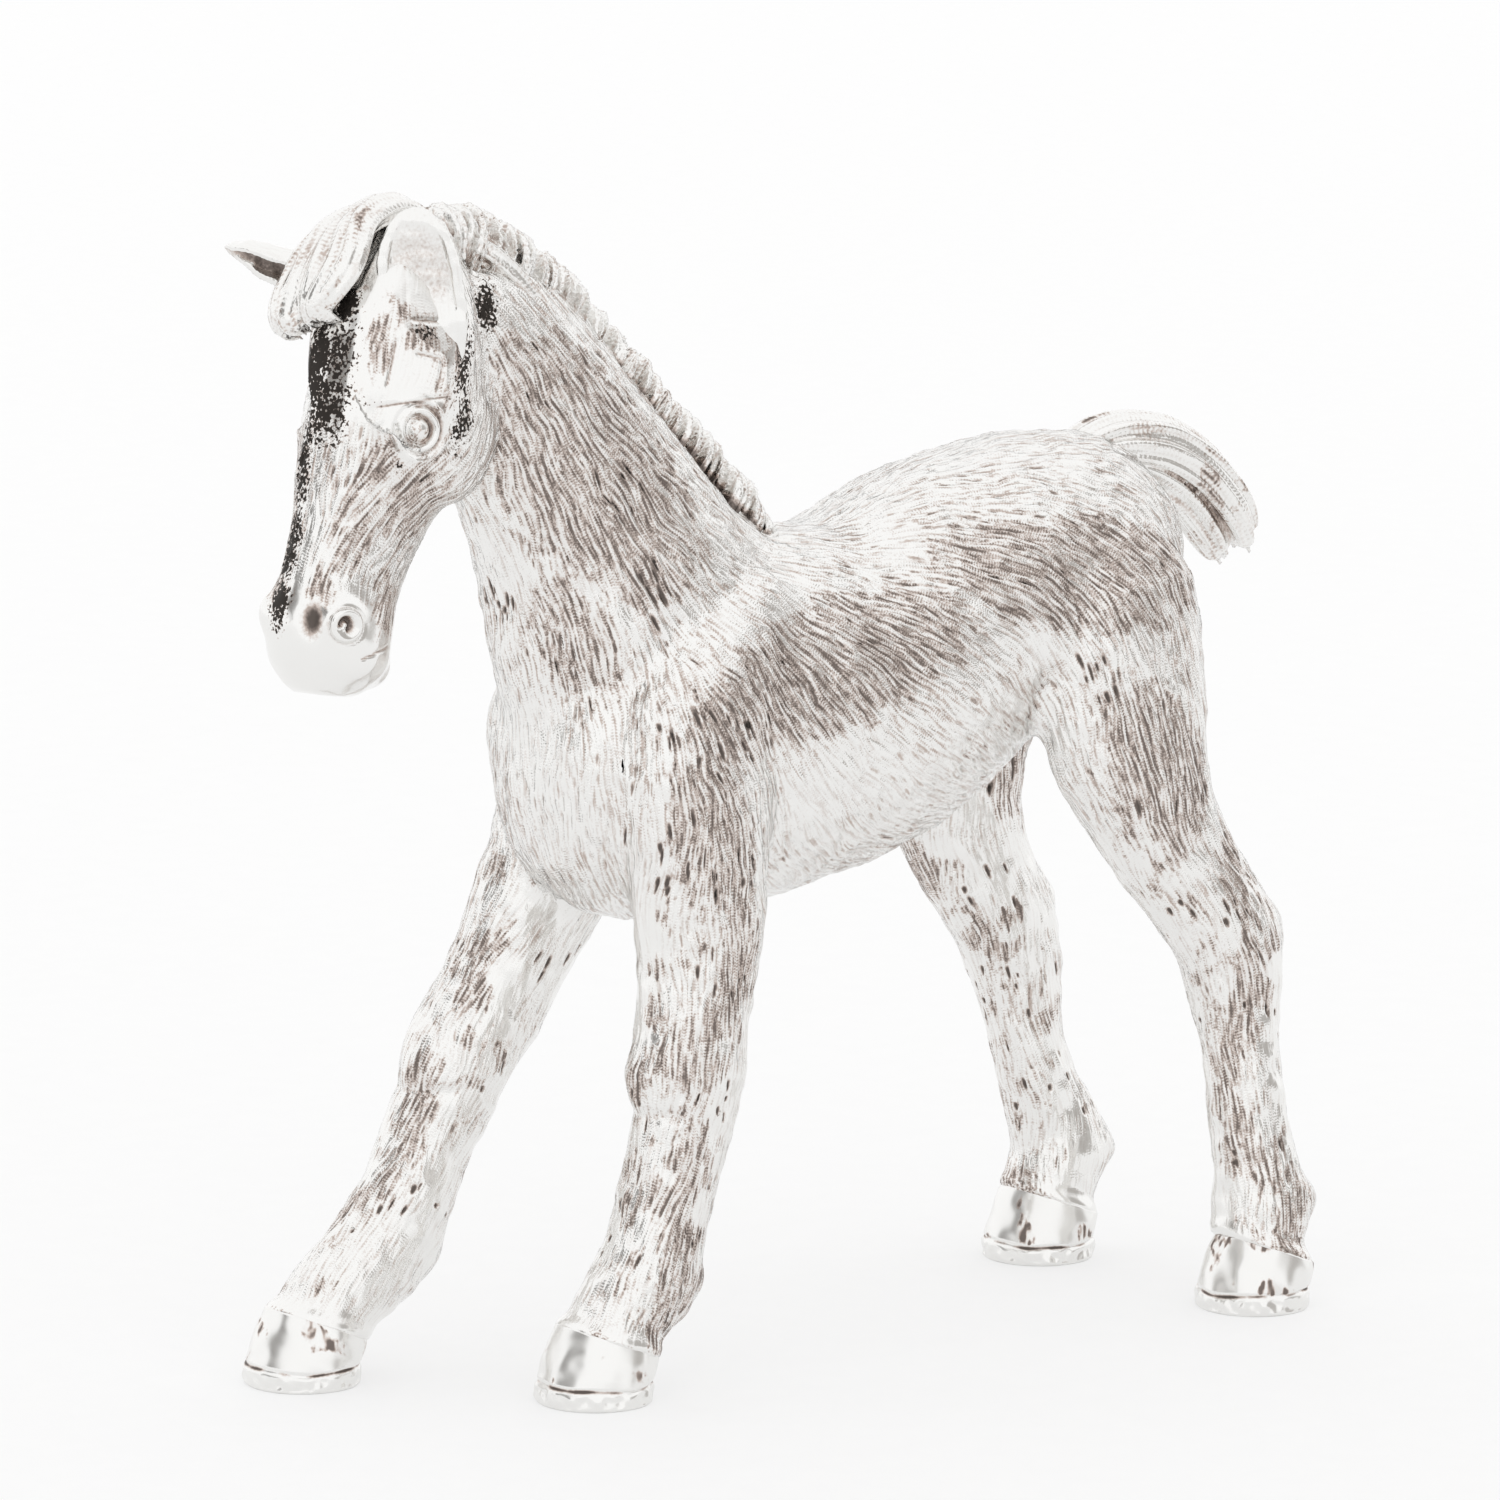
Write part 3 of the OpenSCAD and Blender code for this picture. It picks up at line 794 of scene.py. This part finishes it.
def tube(rings):
    """Closed quads and points from rings of equal length; each end closes to its own middle."""
    count, size = rings.shape[:2]
    points = np.concatenate([rings.reshape(-1, 3), rings[:1].mean(axis=1), rings[-1:].mean(axis=1)])
    ring = np.arange(size)
    after = (ring + 1) % size
    faces = []
    for k in range(count - 1):
        a, b = k * size, (k + 1) * size
        faces.append(np.stack([a + ring, a + after, b + after], 1))
        faces.append(np.stack([a + ring, b + after, b + ring], 1))
    low, high = count * size, count * size + 1
    faces.append(np.stack([after, ring, np.full(size, low)], 1))
    faces.append(np.stack([(count - 1) * size + ring, (count - 1) * size + after, np.full(size, high)], 1))
    return points, np.concatenate(faces).astype(np.int32)


def lock(path, side, width, thick, ridges, seed, tip=0.25, blunt=3.2, root=0.0, count=40, size=36):
    """A lock of hair along path: flat across side, with combed ridges; it is dark up to its root share."""
    random = np.random.default_rng(seed)
    spine = curve(path, count)
    heading = unit(np.gradient(spine, axis=0))
    side = unit(np.asarray(side, float) - heading * (heading @ np.asarray(side, float))[:, None])
    rise = np.cross(heading, side)
    s = np.linspace(0, 1, count)
    body = np.sqrt(np.clip(1 - np.abs(2 * s - 0.95) ** blunt, 0.02, 1)) * (1 - (1 - tip) * ramp(s, 0.55, 1))
    angle = np.linspace(0, 2 * math.pi, size, endpoint=False)
    phase = random.uniform(0, 6.28) + 0.8 * np.sin(3 * s + random.uniform(0, 6.28))
    comb = 1 + 0.14 * np.cos(ridges * angle[None, :] + phase[:, None]) + 0.05 * np.cos(11 * angle)
    x = width * body[:, None] * np.cos(angle) * comb
    y = thick * body[:, None] * np.sin(angle) * comb
    rings = spine[:, None] + side[:, None] * x[..., None] + rise[:, None] * y[..., None]
    return tube(rings), spine, heading, 0.75 * ramp(s, root + 0.12, root - 0.08)


def hair_piece(name, locks, node):
    """Joins locks into one closed skin that keeps their comb lines."""
    points, faces = joined([lock[0] for lock in locks])
    points, quads = remeshed(points, faces, HAIR_VOXEL, 2)
    spine, heading, shade = (np.concatenate([lock[k] for lock in locks]) for k in (1, 2, 3))
    tree = kdtree.KDTree(len(spine))
    for index, point in enumerate(spine.tolist()):
        tree.insert(point, index)
    tree.balance()
    nearest = np.array([tree.find(point)[1] for point in points.tolist()])
    normals = normals_of(points, quads)
    flow = relaxed(heading[nearest], quads, 5, push=0.5)
    crease = relaxed(np.tile(creases(points, quads, normals)[:, None], 3), quads, 3, push=0.5)
    flow = unit(flow - normals * (flow * normals).sum(axis=1, keepdims=True))
    piece = finished(
        name,
        points,
        quads,
        flow=flow,
        groove=np.zeros(len(points)),
        hollow=np.maximum(crease[:, 0], shade[nearest]),
        coat=np.ones(len(points)),
        tarnish=np.zeros(len(points)),
        brown=0.42 * ramp(ripple(points, 2.6, 63), 0.0, 1.2),
    )
    dress(piece, hair_silver, node)


def creases(points, quads, normals):
    """0 to 1: how far each point lies below those around it, for the dark left between locks."""
    flat = relaxed(points, quads, 6, push=0.5)
    depth = ((flat - points) * normals).sum(axis=1)
    return ramp(depth, 0.005, 0.07)


def build_forelock():
    far = np.array(
        [[-0.8, 2.2, 0.8], [-2.5, 0.4, 1.2], [-3.6, -2.0, -0.6], [-3.8, -3.9, -3.2], [-3.1, -4.5, -5.0]]
    )
    near = np.array(
        [[0.6, 1.8, 1.3], [-0.3, -0.9, 1.9], [-0.2, -3.4, 0.6], [0.3, -4.6, -1.7], [-0.6, -4.9, -4.0]]
    )
    curl = np.array([0.7, 0.9, -0.4])
    locks = []
    random = np.random.default_rng(5)
    count = 6
    for k in range(count):
        share = k / (count - 1)
        path = far + (near - far) * share
        path = path + random.normal(0, 0.1, path.shape)
        path[:, 1] -= 0.3 * math.sin(math.pi * share)
        path = np.concatenate([path, [path[-1] + curl]])
        locks.append(lock(from_head(path), HEAD_AXES @ [1, 0.2, 0.1], 0.72, 0.72, 4, 50 + k, tip=0.7))
    hair_piece("forelock_locks", locks, "forelock")


def build_mane():
    locks = []
    random = np.random.default_rng(6)
    tufts = 40
    crest = curve(CREST, 200)
    for k in range(tufts):
        share = (k + 0.5) / tufts
        spot = int(share * 199)
        ahead = unit(crest[min(spot + 3, 199)] - crest[max(spot - 3, 0)])
        rise = unit(np.cross([1.0, 0, 0], ahead))
        height = 2.1 + 0.22 * random.uniform(-1, 1)
        height *= (1 - 0.5 * ramp(share, 0.8, 1.0)) * (0.55 + 0.45 * ramp(share, 0, 0.12))
        lean = np.array([random.normal(0, 0.14), 0, 0]) - ahead * height * random.uniform(0.2, 0.34)
        foot = crest[spot] - rise * 2.3
        path = [foot, foot + rise * (1.8 + 0.4 * height) + lean * 0.4, foot + rise * (2.3 + height) + lean]
        across = unit([1.0, 0, 0] + ahead * random.normal(0, 0.1) + rise * random.normal(0, 0.1))
        thick = random.uniform(0.27, 0.33)
        locks.append(lock(path, across, 1.85, thick, 7, 200 + k, tip=0.62, blunt=9, root=0.5, size=48))
    for k in range(7):
        share = k / 6
        path = np.array([
            [1.2 - 1.4 * share, -23.2, 57.0 + 0.25 * share],
            [2.0 - 2.0 * share, -21.0, 56.6 + 0.5 * share],
            [2.7 - 2.2 * share, -18.8, 54.6 + 0.9 * share],
            [2.9 - 1.8 * share, -16.8, 52.4 + 1.1 * share],
        ]) + ROW + random.normal(0, 0.1, (4, 3))
        locks.append(lock(path, [1.0, 0.3, 0.6], 0.62, 0.5, 5, 400 + k, tip=0.5))
    hair_piece("mane_locks", locks, "mane")


TAIL = np.array([
    [0, 15.6, 41.6], [0, 18.2, 43.2], [0, 21.4, 43.0], [0, 24.2, 41.5], [0, 26.3, 39.3], [0, 27.6, 37.2],
]) + ROW


def build_tail():
    random = np.random.default_rng(8)
    spine = curve(TAIL, 12)
    heading = unit(np.gradient(spine, axis=0))
    side = np.array([1.0, 0, 0])
    rise = np.cross(heading, side)
    s = np.linspace(0, 1, 12)
    spread = 0.55 + 0.6 * ramp(s, 0.05, 0.5) - 0.15 * ramp(s, 0.8, 1)
    locks = []
    for k in range(11):
        angle = 2 * math.pi * k / 8 if k < 8 else 2 * math.pi * k / 3
        out = 1.15 if k < 8 else 0.4
        twist = angle + 0.3 * s * random.uniform(-1, 1)
        offset = side[None] * (np.cos(twist) * out * spread)[:, None]
        offset = offset + rise * (np.sin(twist) * out * spread)[:, None]
        path = spine + offset
        path = path + (k % 2) * 0.35 * (path[-2] - path[-1]) * s[:, None] ** 4
        locks.append(lock(path, [1.0, 0, 0], 0.82, 0.82, 5, 600 + k, tip=0.85, blunt=9))
    hair_piece("tail_locks", locks, "tail")


# ---- ears ----
def build_ear(name, path, opening, width, depth, wall, shade, node):
    """A cupped shell: an outer back and an inner hollow, in rings from base to tip, head axes."""
    count, size = 60, 28
    spine = curve(path, count)
    heading = unit(np.gradient(spine, axis=0))
    face = np.asarray(opening, float)
    face = unit(face - heading * (heading @ face)[:, None])
    side = np.cross(heading, face)
    s = np.linspace(0, 1, count)
    shape = np.sqrt(np.clip(1 - np.abs(s - 0.38) ** 2.3 / 0.62**2.3, 0.0, 1))
    shape = shape * (1 - 0.25 * ramp(s, 0.6, 1)) + 0.03
    hollow = ramp(s, 0.2, 0.45)
    angle = np.linspace(-1.75, 1.75, size)
    outer = (
        side[:, None] * (width * shape)[:, None, None] * np.sin(angle)[None, :, None]
        - face[:, None] * (depth * shape)[:, None, None] * np.cos(angle)[None, :, None]
    )
    inner_width = np.maximum(width * shape - wall, 0.02)
    inner_depth = np.maximum(depth * shape * hollow - wall * hollow, 0)
    fill = (1 - hollow)[:, None, None] * face[:, None] * depth * 0.35
    back = angle[::-1]
    inner = (
        side[:, None] * inner_width[:, None, None] * np.sin(back)[None, :, None]
        - face[:, None] * inner_depth[:, None, None] * np.cos(back)[None, :, None]
        + fill
    )
    rings = spine[:, None] + np.concatenate([outer, inner], axis=1)
    points, faces = tube(rings)
    points, quads = remeshed(from_head(points), faces, 0.08, 3)
    normals = normals_of(points, quads)
    points = points + normals * (0.02 * ripple(points, 1.0, 77))[:, None]
    local = to_head(points)
    spine_tree = kdtree.KDTree(count)
    for index, point in enumerate(spine.tolist()):
        spine_tree.insert(point, index)
    spine_tree.balance()
    nearest = np.array([spine_tree.find(point)[1] for point in local.tolist()])
    flow = heading[nearest] @ HEAD_AXES.T
    inside = ((to_head(normals + POLL) * face[nearest]).sum(axis=1) > 0.2) & (nearest > 14)
    cup = inside * ramp(((spine[nearest] - local) * face[nearest]).sum(axis=1), -0.25, 0.35)
    piece = finished(
        name,
        points,
        quads,
        flow=unit(flow - normals * (flow * normals).sum(axis=1, keepdims=True)),
        groove=np.zeros(len(points)),
        # Painted shade inside the cup, set by shade: grey through hollow and brown through brown
        hollow=cup * shade * (0.7 + 0.3 * ramp(shade, 0.5, 0.9)),
        coat=np.full(len(points), 0.1),
        tarnish=np.zeros(len(points)),
        brown=cup * ramp(shade, 0.5, 0.9),
    )
    dress(piece, coat_silver, node)


def ear_tip(node):
    """The end of a CAD ear: its point farthest from the poll."""
    points = to_head(node_arrays(node)[0])
    return points[np.linalg.norm(points, axis=1).argmax()].tolist()


def build_ears():
    build_ear(
        "ear_left_shell",
        [[2.6, -0.3, -5.4], [2.65, -1.1, -3.6], [2.5, -2.0, -1.6], [2.25, -2.6, 0.2], [2.0, -2.8, 1.6]],
        [0.5, -0.85, 0.15], 2.0, 0.9, 0.5, 0.42, "ear_left",
    )
    build_ear(
        "ear_right_shell",
        [
            [-2.0, -0.6, -2.6], [-3.4, -1.9, -2.3], [-4.9, -3.0, -2.1], [-6.2, -3.9, -1.8],
            ear_tip("ear_right"),
        ],
        [0.05, -0.45, -0.9], 1.15, 1.15, 0.38, 0.75, "ear_right",
    )


# ---- hooves ----
BAND_HEIGHT = 1.0


def build_hoof(hoof):
    size, count = 144, 56
    angle = np.linspace(0, 2 * math.pi, size, endpoint=False)
    around_sole = np.stack([np.cos(angle), np.sin(angle), np.zeros(size)], 1)
    heel = 1 - 0.07 * ramp(np.sin(angle), 0.3, 1.0)
    rim = BAND_HEIGHT + 0.07 * np.sin(2 * angle + hoof.sole[0]) + 0.04 * np.sin(5 * angle + hoof.sole[1])
    around_top = (
        np.array([1.0, 0, 0])[None] * np.cos(angle)[:, None] + hoof.back[None] * np.sin(angle)[:, None]
    )
    top = hoof.coronet + around_top * CORONET_RADIUS * 0.97 - hoof.up * 0.02
    rough = 0.6 + 0.45 * np.sin(3 * angle + hoof.sole[1]) + 0.3 * np.sin(11 * angle + hoof.sole[0])
    rings, dark = [], []
    band_rings = 22
    for k in range(band_rings):
        t = k / (band_rings - 1)
        bevel = 0.1 * (1 - ramp(t, 0, 0.12))
        groove = 0.13 * bell(t - 1, 0.12)
        ring = hoof.sole + around_sole * ((hoof.radius - 0.03 - bevel - groove) * heel)[:, None]
        ring[:, 2] = rim * t
        rings.append(ring)
        dark.append(rough * bell(t - 1, 0.09))
    foot = hoof.sole + around_sole * ((hoof.radius - 0.14) * heel)[:, None]
    for k in range(1, count - band_rings):
        t = k / (count - band_rings - 1)
        step = 0.06 * ramp(t, 0, 0.06) - 0.1 * bell(t, 0.03)
        ring = foot * (1 - t) + top * t
        ring[:, 2] = rim * (1 - t) + top[:, 2] * t
        ring += around_sole * (step + 0.06 * math.sin(math.pi * t))
        rings.append(ring)
        dark.append(rough * bell(t, 0.03))
    rings.append(hoof.coronet + around_top * 2.1 + hoof.up * 0.3)
    dark.append(np.zeros(size))
    rings = np.array(rings)
    points, faces = tube(rings)
    dark = np.concatenate([np.concatenate(dark), [0, 0]])
    level = points[:, 2]
    soft = ramp(level, 0.02, 0.2)
    outward = unit((points - hoof.coronet) * [1, 1, 0])
    dent = 0.03 * ripple(points, 1.6, 91) + 0.03 * ripple(points, 0.6, 92) * ramp(-level, -0.95, -0.7)
    points = points + outward * (dent * soft)[:, None] - outward * 0.03
    mesh = make_mesh(hoof.name, points * MM, faces)
    flow = mesh.attributes.new("flow", "FLOAT_VECTOR", "POINT")
    flow.data.foreach_set("vector", np.tile([0, 0, -1.0], (len(points), 1)).astype(np.float32).ravel())
    worn = 0.25 if hoof.sole[0] > 0 > hoof.sole[1] else 0.7
    brown = worn * ramp(ripple(points, 2.4, 93), 0.4, 1.6) * ramp(level, 0.9, 1.3)
    plain = np.zeros(len(points))
    layers = {"groove": plain, "hollow": dark, "coat": plain, "tarnish": plain, "brown": brown}
    for key, values in layers.items():
        layer = mesh.attributes.new(key, "FLOAT", "POINT")
        layer.data.foreach_set("value", values.astype(np.float32))
    mesh.polygons.foreach_set("use_smooth", np.ones(len(mesh.polygons), bool))
    piece = bpy.data.objects.new(hoof.name + "_horn", mesh)
    bpy.context.scene.collection.objects.link(piece)
    dress(piece, hoof_silver, hoof.name)


# ---- materials ----
class Graph:
    """Adds nodes to a material or world, joining sockets given as inputs."""

    def __init__(self, owner):
        owner.use_nodes = True
        self.tree = owner.node_tree

    def add(self, kind, inputs=None, **settings):
        node = self.tree.nodes.new(kind)
        for key, value in settings.items():
            setattr(node, key, value)
        for key, value in (inputs or {}).items():
            if isinstance(value, bpy.types.NodeSocket):
                self.tree.links.new(value, node.inputs[key])
            else:
                node.inputs[key].default_value = value
        return node

    def math(self, operation, a, b=0.0, c=0.0, clamp=False):
        return self.add("ShaderNodeMath", {0: a, 1: b, 2: c}, operation=operation, use_clamp=clamp).outputs[0]

    def spread(self, value, low, high, start=0.0, end=1.0):
        inputs = {"Value": value, "From Min": low, "From Max": high, "To Min": start, "To Max": end}
        return self.add("ShaderNodeMapRange", inputs, interpolation_type="SMOOTHSTEP").outputs["Result"]

    def noise(self, at, size, detail=2.0):
        inputs = {"Vector": at, "Scale": 1 / (size * MM), "Detail": detail}
        return self.add("ShaderNodeTexNoise", inputs).outputs["Fac"]

    def attribute(self, name, output="Fac"):
        return self.add("ShaderNodeAttribute", attribute_name=name).outputs[output]

    def link(self, value, socket):
        self.tree.links.new(value, socket)


def combed(graph, at, flow, size, reach, taps=9):
    """Noise averaged along the lie of the coat, which draws it out into hair lines."""
    total = None
    for k in range(taps):
        shift = (2 * k / (taps - 1) - 1) * reach * MM
        inputs = {0: flow, 1: (shift, shift, shift), 2: at}
        moved = graph.add("ShaderNodeVectorMath", inputs, operation="MULTIPLY_ADD").outputs[0]
        sample = graph.noise(moved, size, 1.0)
        total = sample if total is None else graph.math("ADD", total, sample)
    return graph.math("DIVIDE", total, float(taps))


def silver(name, hair_size, hair_reach, relief, polish, line_share):
    """Cast silver with dark left in its grooves: hair lines, brown and black, partly tarnished silver and
    partly painted reflection and shade, and fine pitting.
    """
    material = bpy.data.materials.new(name)
    graph = Graph(material)
    shader = graph.tree.nodes["Principled BSDF"]
    shader.inputs["Metallic"].default_value = 1.0
    at = graph.add("ShaderNodeTexCoord").outputs["Object"]
    flow = graph.attribute("flow", "Vector")
    groove = graph.attribute("groove")
    hollow = graph.attribute("hollow")
    coat = graph.attribute("coat")
    tarnish = graph.attribute("tarnish")
    brown = graph.attribute("brown")
    hairs = combed(graph, at, flow, hair_size, hair_reach)
    patches = graph.noise(at, 3.2, 2.0)
    cloud = graph.math("SUBTRACT", graph.noise(at, 1.0, 3.0), 0.5)
    ragged = graph.math("SUBTRACT", graph.noise(at, 0.17, 2.0), 0.5)
    grain = graph.math("SUBTRACT", hairs, 0.5)
    in_groove = graph.spread(graph.math("MULTIPLY_ADD", ragged, 0.7, groove), 0.3, 0.95)
    patch_share = graph.spread(patches, 0.42, 0.62, 0.3, 0.7)
    depth_share = graph.math("MULTIPLY_ADD", graph.spread(brown, 0.1, 0.6), 0.3, patch_share)
    in_groove = graph.math("MULTIPLY", in_groove, depth_share)
    in_hollow = graph.spread(graph.math("MULTIPLY_ADD", ragged, 0.45, hollow), 0.12, 0.9)
    in_hollow = graph.math("MULTIPLY", in_hollow, 0.82)
    thin_share = graph.spread(patches, 0.4, 0.6, line_share, 1.0)
    thin = graph.math("MULTIPLY", graph.spread(hairs, 0.51, 0.42), thin_share)
    thin = graph.math("MULTIPLY", thin, coat)
    # Black: partly tarnish, partly painted reflection, broken up by noise and the hair lines
    black_share = graph.math("MULTIPLY_ADD", cloud, 0.8, tarnish)
    black_share = graph.math("MULTIPLY_ADD", ragged, 1.8, black_share)
    black_share = graph.math("MULTIPLY_ADD", graph.math("MULTIPLY", grain, coat), -2.2, black_share)
    black_share = graph.math("MULTIPLY", graph.spread(black_share, 0.4, 0.55), graph.spread(tarnish, 0.12, 0.3))
    # Brown: painted reflection on the flanks, head and legs, painted shade inside the ears, random tone on
    # the hair and hooves
    browned = graph.math("MULTIPLY_ADD", cloud, 1.5, brown)
    browned = graph.math("MULTIPLY_ADD", grain, -2.2, browned)
    browned = graph.math("MULTIPLY_ADD", ragged, 0.5, browned)
    browned = graph.math("MULTIPLY", graph.spread(browned, 0.3, 0.75), graph.spread(brown, 0.02, 0.3))
    lines = graph.spread(hairs, 0.545, 0.43, 0.04, 0.7)
    dark = graph.math("MAXIMUM", in_groove, graph.math("MULTIPLY", thin, 0.4))
    dark = graph.math("MAXIMUM", dark, graph.math("MULTIPLY", browned, lines))
    dark = graph.math("MAXIMUM", dark, in_hollow)
    dark = graph.math("MAXIMUM", dark, graph.math("MULTIPLY", black_share, 0.97), clamp=True)
    colours = graph.add("ShaderNodeValToRGB", {"Fac": dark})
    stops = colours.color_ramp.elements
    stops[0].color = (0.87, 0.865, 0.85, 1)
    stops[1].color = (0.03, 0.027, 0.024, 1)
    stops.new(0.3).color = (0.57, 0.49, 0.445, 1)
    stops.new(0.62).color = (0.24, 0.2, 0.18, 1)
    graph.link(colours.outputs["Color"], shader.inputs["Base Color"])
    graph.link(graph.spread(dark, 0.0, 1.0, polish, 0.55), shader.inputs["Roughness"])
    height = graph.math("MULTIPLY", graph.spread(hairs, 0.4, 0.6), coat)
    height = graph.math("MULTIPLY_ADD", cloud, 0.5, height)
    bump = graph.add("ShaderNodeBump", {"Height": height, "Strength": 1.0, "Distance": relief * MM})
    graph.link(bump.outputs["Normal"], shader.inputs["Normal"])
    return material


coat_silver = silver("coat_silver", 0.17, 0.6, 0.035, 0.16, 0.35)
hair_silver = silver("hair_silver", 0.26, 1.1, 0.018, 0.16, 0.2)
hoof_silver = silver("hoof_silver", 0.35, 0.3, 0.01, 0.24, 0.1)


def dress(piece, material, node):
    piece.data.materials.append(material)
    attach(piece, "root")
    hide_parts(node)


# ---- the studio ----
VIEW_AZIMUTH = math.radians(54)
VIEW_ELEVATION = math.radians(10)
VIEW_DISTANCE = 447.3
FRAMING_LEFT = 1.62
FRAMING_UP = 0.47


def build_camera():
    back = np.array([
        math.sin(VIEW_AZIMUTH) * math.cos(VIEW_ELEVATION),
        -math.cos(VIEW_AZIMUTH) * math.cos(VIEW_ELEVATION),
        math.sin(VIEW_ELEVATION),
    ])
    right = np.array([math.cos(VIEW_AZIMUTH), math.sin(VIEW_AZIMUTH), 0])
    up = np.cross(back, right)
    middle = (np.array(cad_box[0]) + np.array(cad_box[1])) / 2 / MM
    place = middle + back * VIEW_DISTANCE - right * FRAMING_LEFT + up * FRAMING_UP
    data = bpy.data.cameras.new("camera")
    data.lens = 216
    data.sensor_width = 36
    data.clip_start = 0.01
    data.clip_end = 50
    camera = bpy.data.objects.new("camera", data)
    camera.location = Vector(place * MM)
    camera.rotation_mode = "QUATERNION"
    camera.rotation_quaternion = Vector(-back).to_track_quat("-Z", "Y")
    bpy.context.scene.collection.objects.link(camera)
    bpy.context.scene.camera = camera


def build_floor():
    rings = np.array([0.05, 0.15, 0.4, 1.0, 3.0, 8.0])
    angle = np.linspace(0, 2 * math.pi, 96, endpoint=False)
    circle = np.stack([np.cos(angle), np.sin(angle), np.zeros(96)], 1)
    points = np.concatenate([circle * r for r in rings] + [np.zeros((1, 3))])
    ring = np.arange(96)
    after = (ring + 1) % 96
    faces = [
        np.stack([k * 96 + ring, (k + 1) * 96 + ring, (k + 1) * 96 + after, k * 96 + after], 1)
        for k in range(len(rings) - 1)
    ]
    middle = np.stack([ring, after, np.full(96, len(points) - 1)], 1)
    mesh = make_mesh("floor", points, np.concatenate(faces).astype(np.int32), middle.astype(np.int32))
    floor = bpy.data.objects.new("floor", mesh)
    bpy.context.scene.collection.objects.link(floor)
    material = bpy.data.materials.new("floor_paper")
    graph = Graph(material)
    shader = graph.tree.nodes["Principled BSDF"]
    shader.inputs["Roughness"].default_value = 0.9
    at = graph.add("ShaderNodeTexCoord").outputs["Object"]
    grain = graph.noise(at, 2.0, 3.0)
    tone = graph.add("ShaderNodeValToRGB", {"Fac": grain})
    tone.color_ramp.elements[0].color = (0.36, 0.36, 0.36, 1)
    tone.color_ramp.elements[1].color = (0.38, 0.38, 0.38, 1)
    graph.link(tone.outputs["Color"], shader.inputs["Base Color"])
    shader.inputs["Emission Color"].default_value = (1, 1, 1, 1)
    shader.inputs["Emission Strength"].default_value = 0.56
    mesh.materials.append(material)


# Darker parts of the room that the metal mirrors: direction, cosine where it ends and starts, tone
ROOM_PATCHES = [
    ((0.72, 0.67, 0.13), 0.84, 0.97, (0.5, 0.48, 0.46, 1)),
    ((-0.23, -0.89, 0.37), 0.94, 0.99, (0.3, 0.29, 0.28, 1)),
]
LIGHT = 1.08
BACKDROP = 0.96


def build_room():
    world = bpy.data.worlds.new("room")
    bpy.context.scene.world = world
    graph = Graph(world)
    tree = graph.tree
    tree.nodes.clear()
    direction = graph.add("ShaderNodeTexCoord").outputs["Generated"]
    tone = None
    for toward, outer, inner, colour in ROOM_PATCHES:
        axis = tuple(unit(toward))
        facing = graph.add("ShaderNodeVectorMath", {0: direction, 1: axis}, operation="DOT_PRODUCT")
        ragged = graph.add("ShaderNodeTexNoise", {"Vector": direction, "Scale": 5.0, "Detail": 2.0})
        ragged = graph.math("MULTIPLY", graph.math("SUBTRACT", ragged.outputs["Fac"], 0.5), 0.12)
        facing = graph.math("ADD", facing.outputs["Value"], ragged)
        share = graph.spread(facing, outer, inner)
        mix = graph.add("ShaderNodeMix", {"Factor": share}, data_type="RGBA")
        if tone is None:
            mix.inputs[6].default_value = (LIGHT, LIGHT, LIGHT, 1)
        else:
            graph.link(tone, mix.inputs[6])
        mix.inputs[7].default_value = colour
        tone = mix.outputs[2]
    lit = graph.add("ShaderNodeBackground", {"Color": tone, "Strength": 1.0})
    plain = graph.add("ShaderNodeBackground", {"Color": (BACKDROP, BACKDROP, BACKDROP, 1), "Strength": 1.0})
    seen = graph.add("ShaderNodeLightPath").outputs["Is Camera Ray"]
    chosen = graph.add("ShaderNodeMixShader", {0: seen, 1: lit.outputs[0], 2: plain.outputs[0]})
    out = graph.add("ShaderNodeOutputWorld")
    graph.link(chosen.outputs[0], out.inputs["Surface"])
    bpy.context.scene.view_settings.view_transform = "Standard"


body_pieces()
build_forelock()
build_mane()
build_tail()
build_ears()
for hoof in hooves:
    build_hoof(hoof)
build_floor()
build_room()
build_camera()
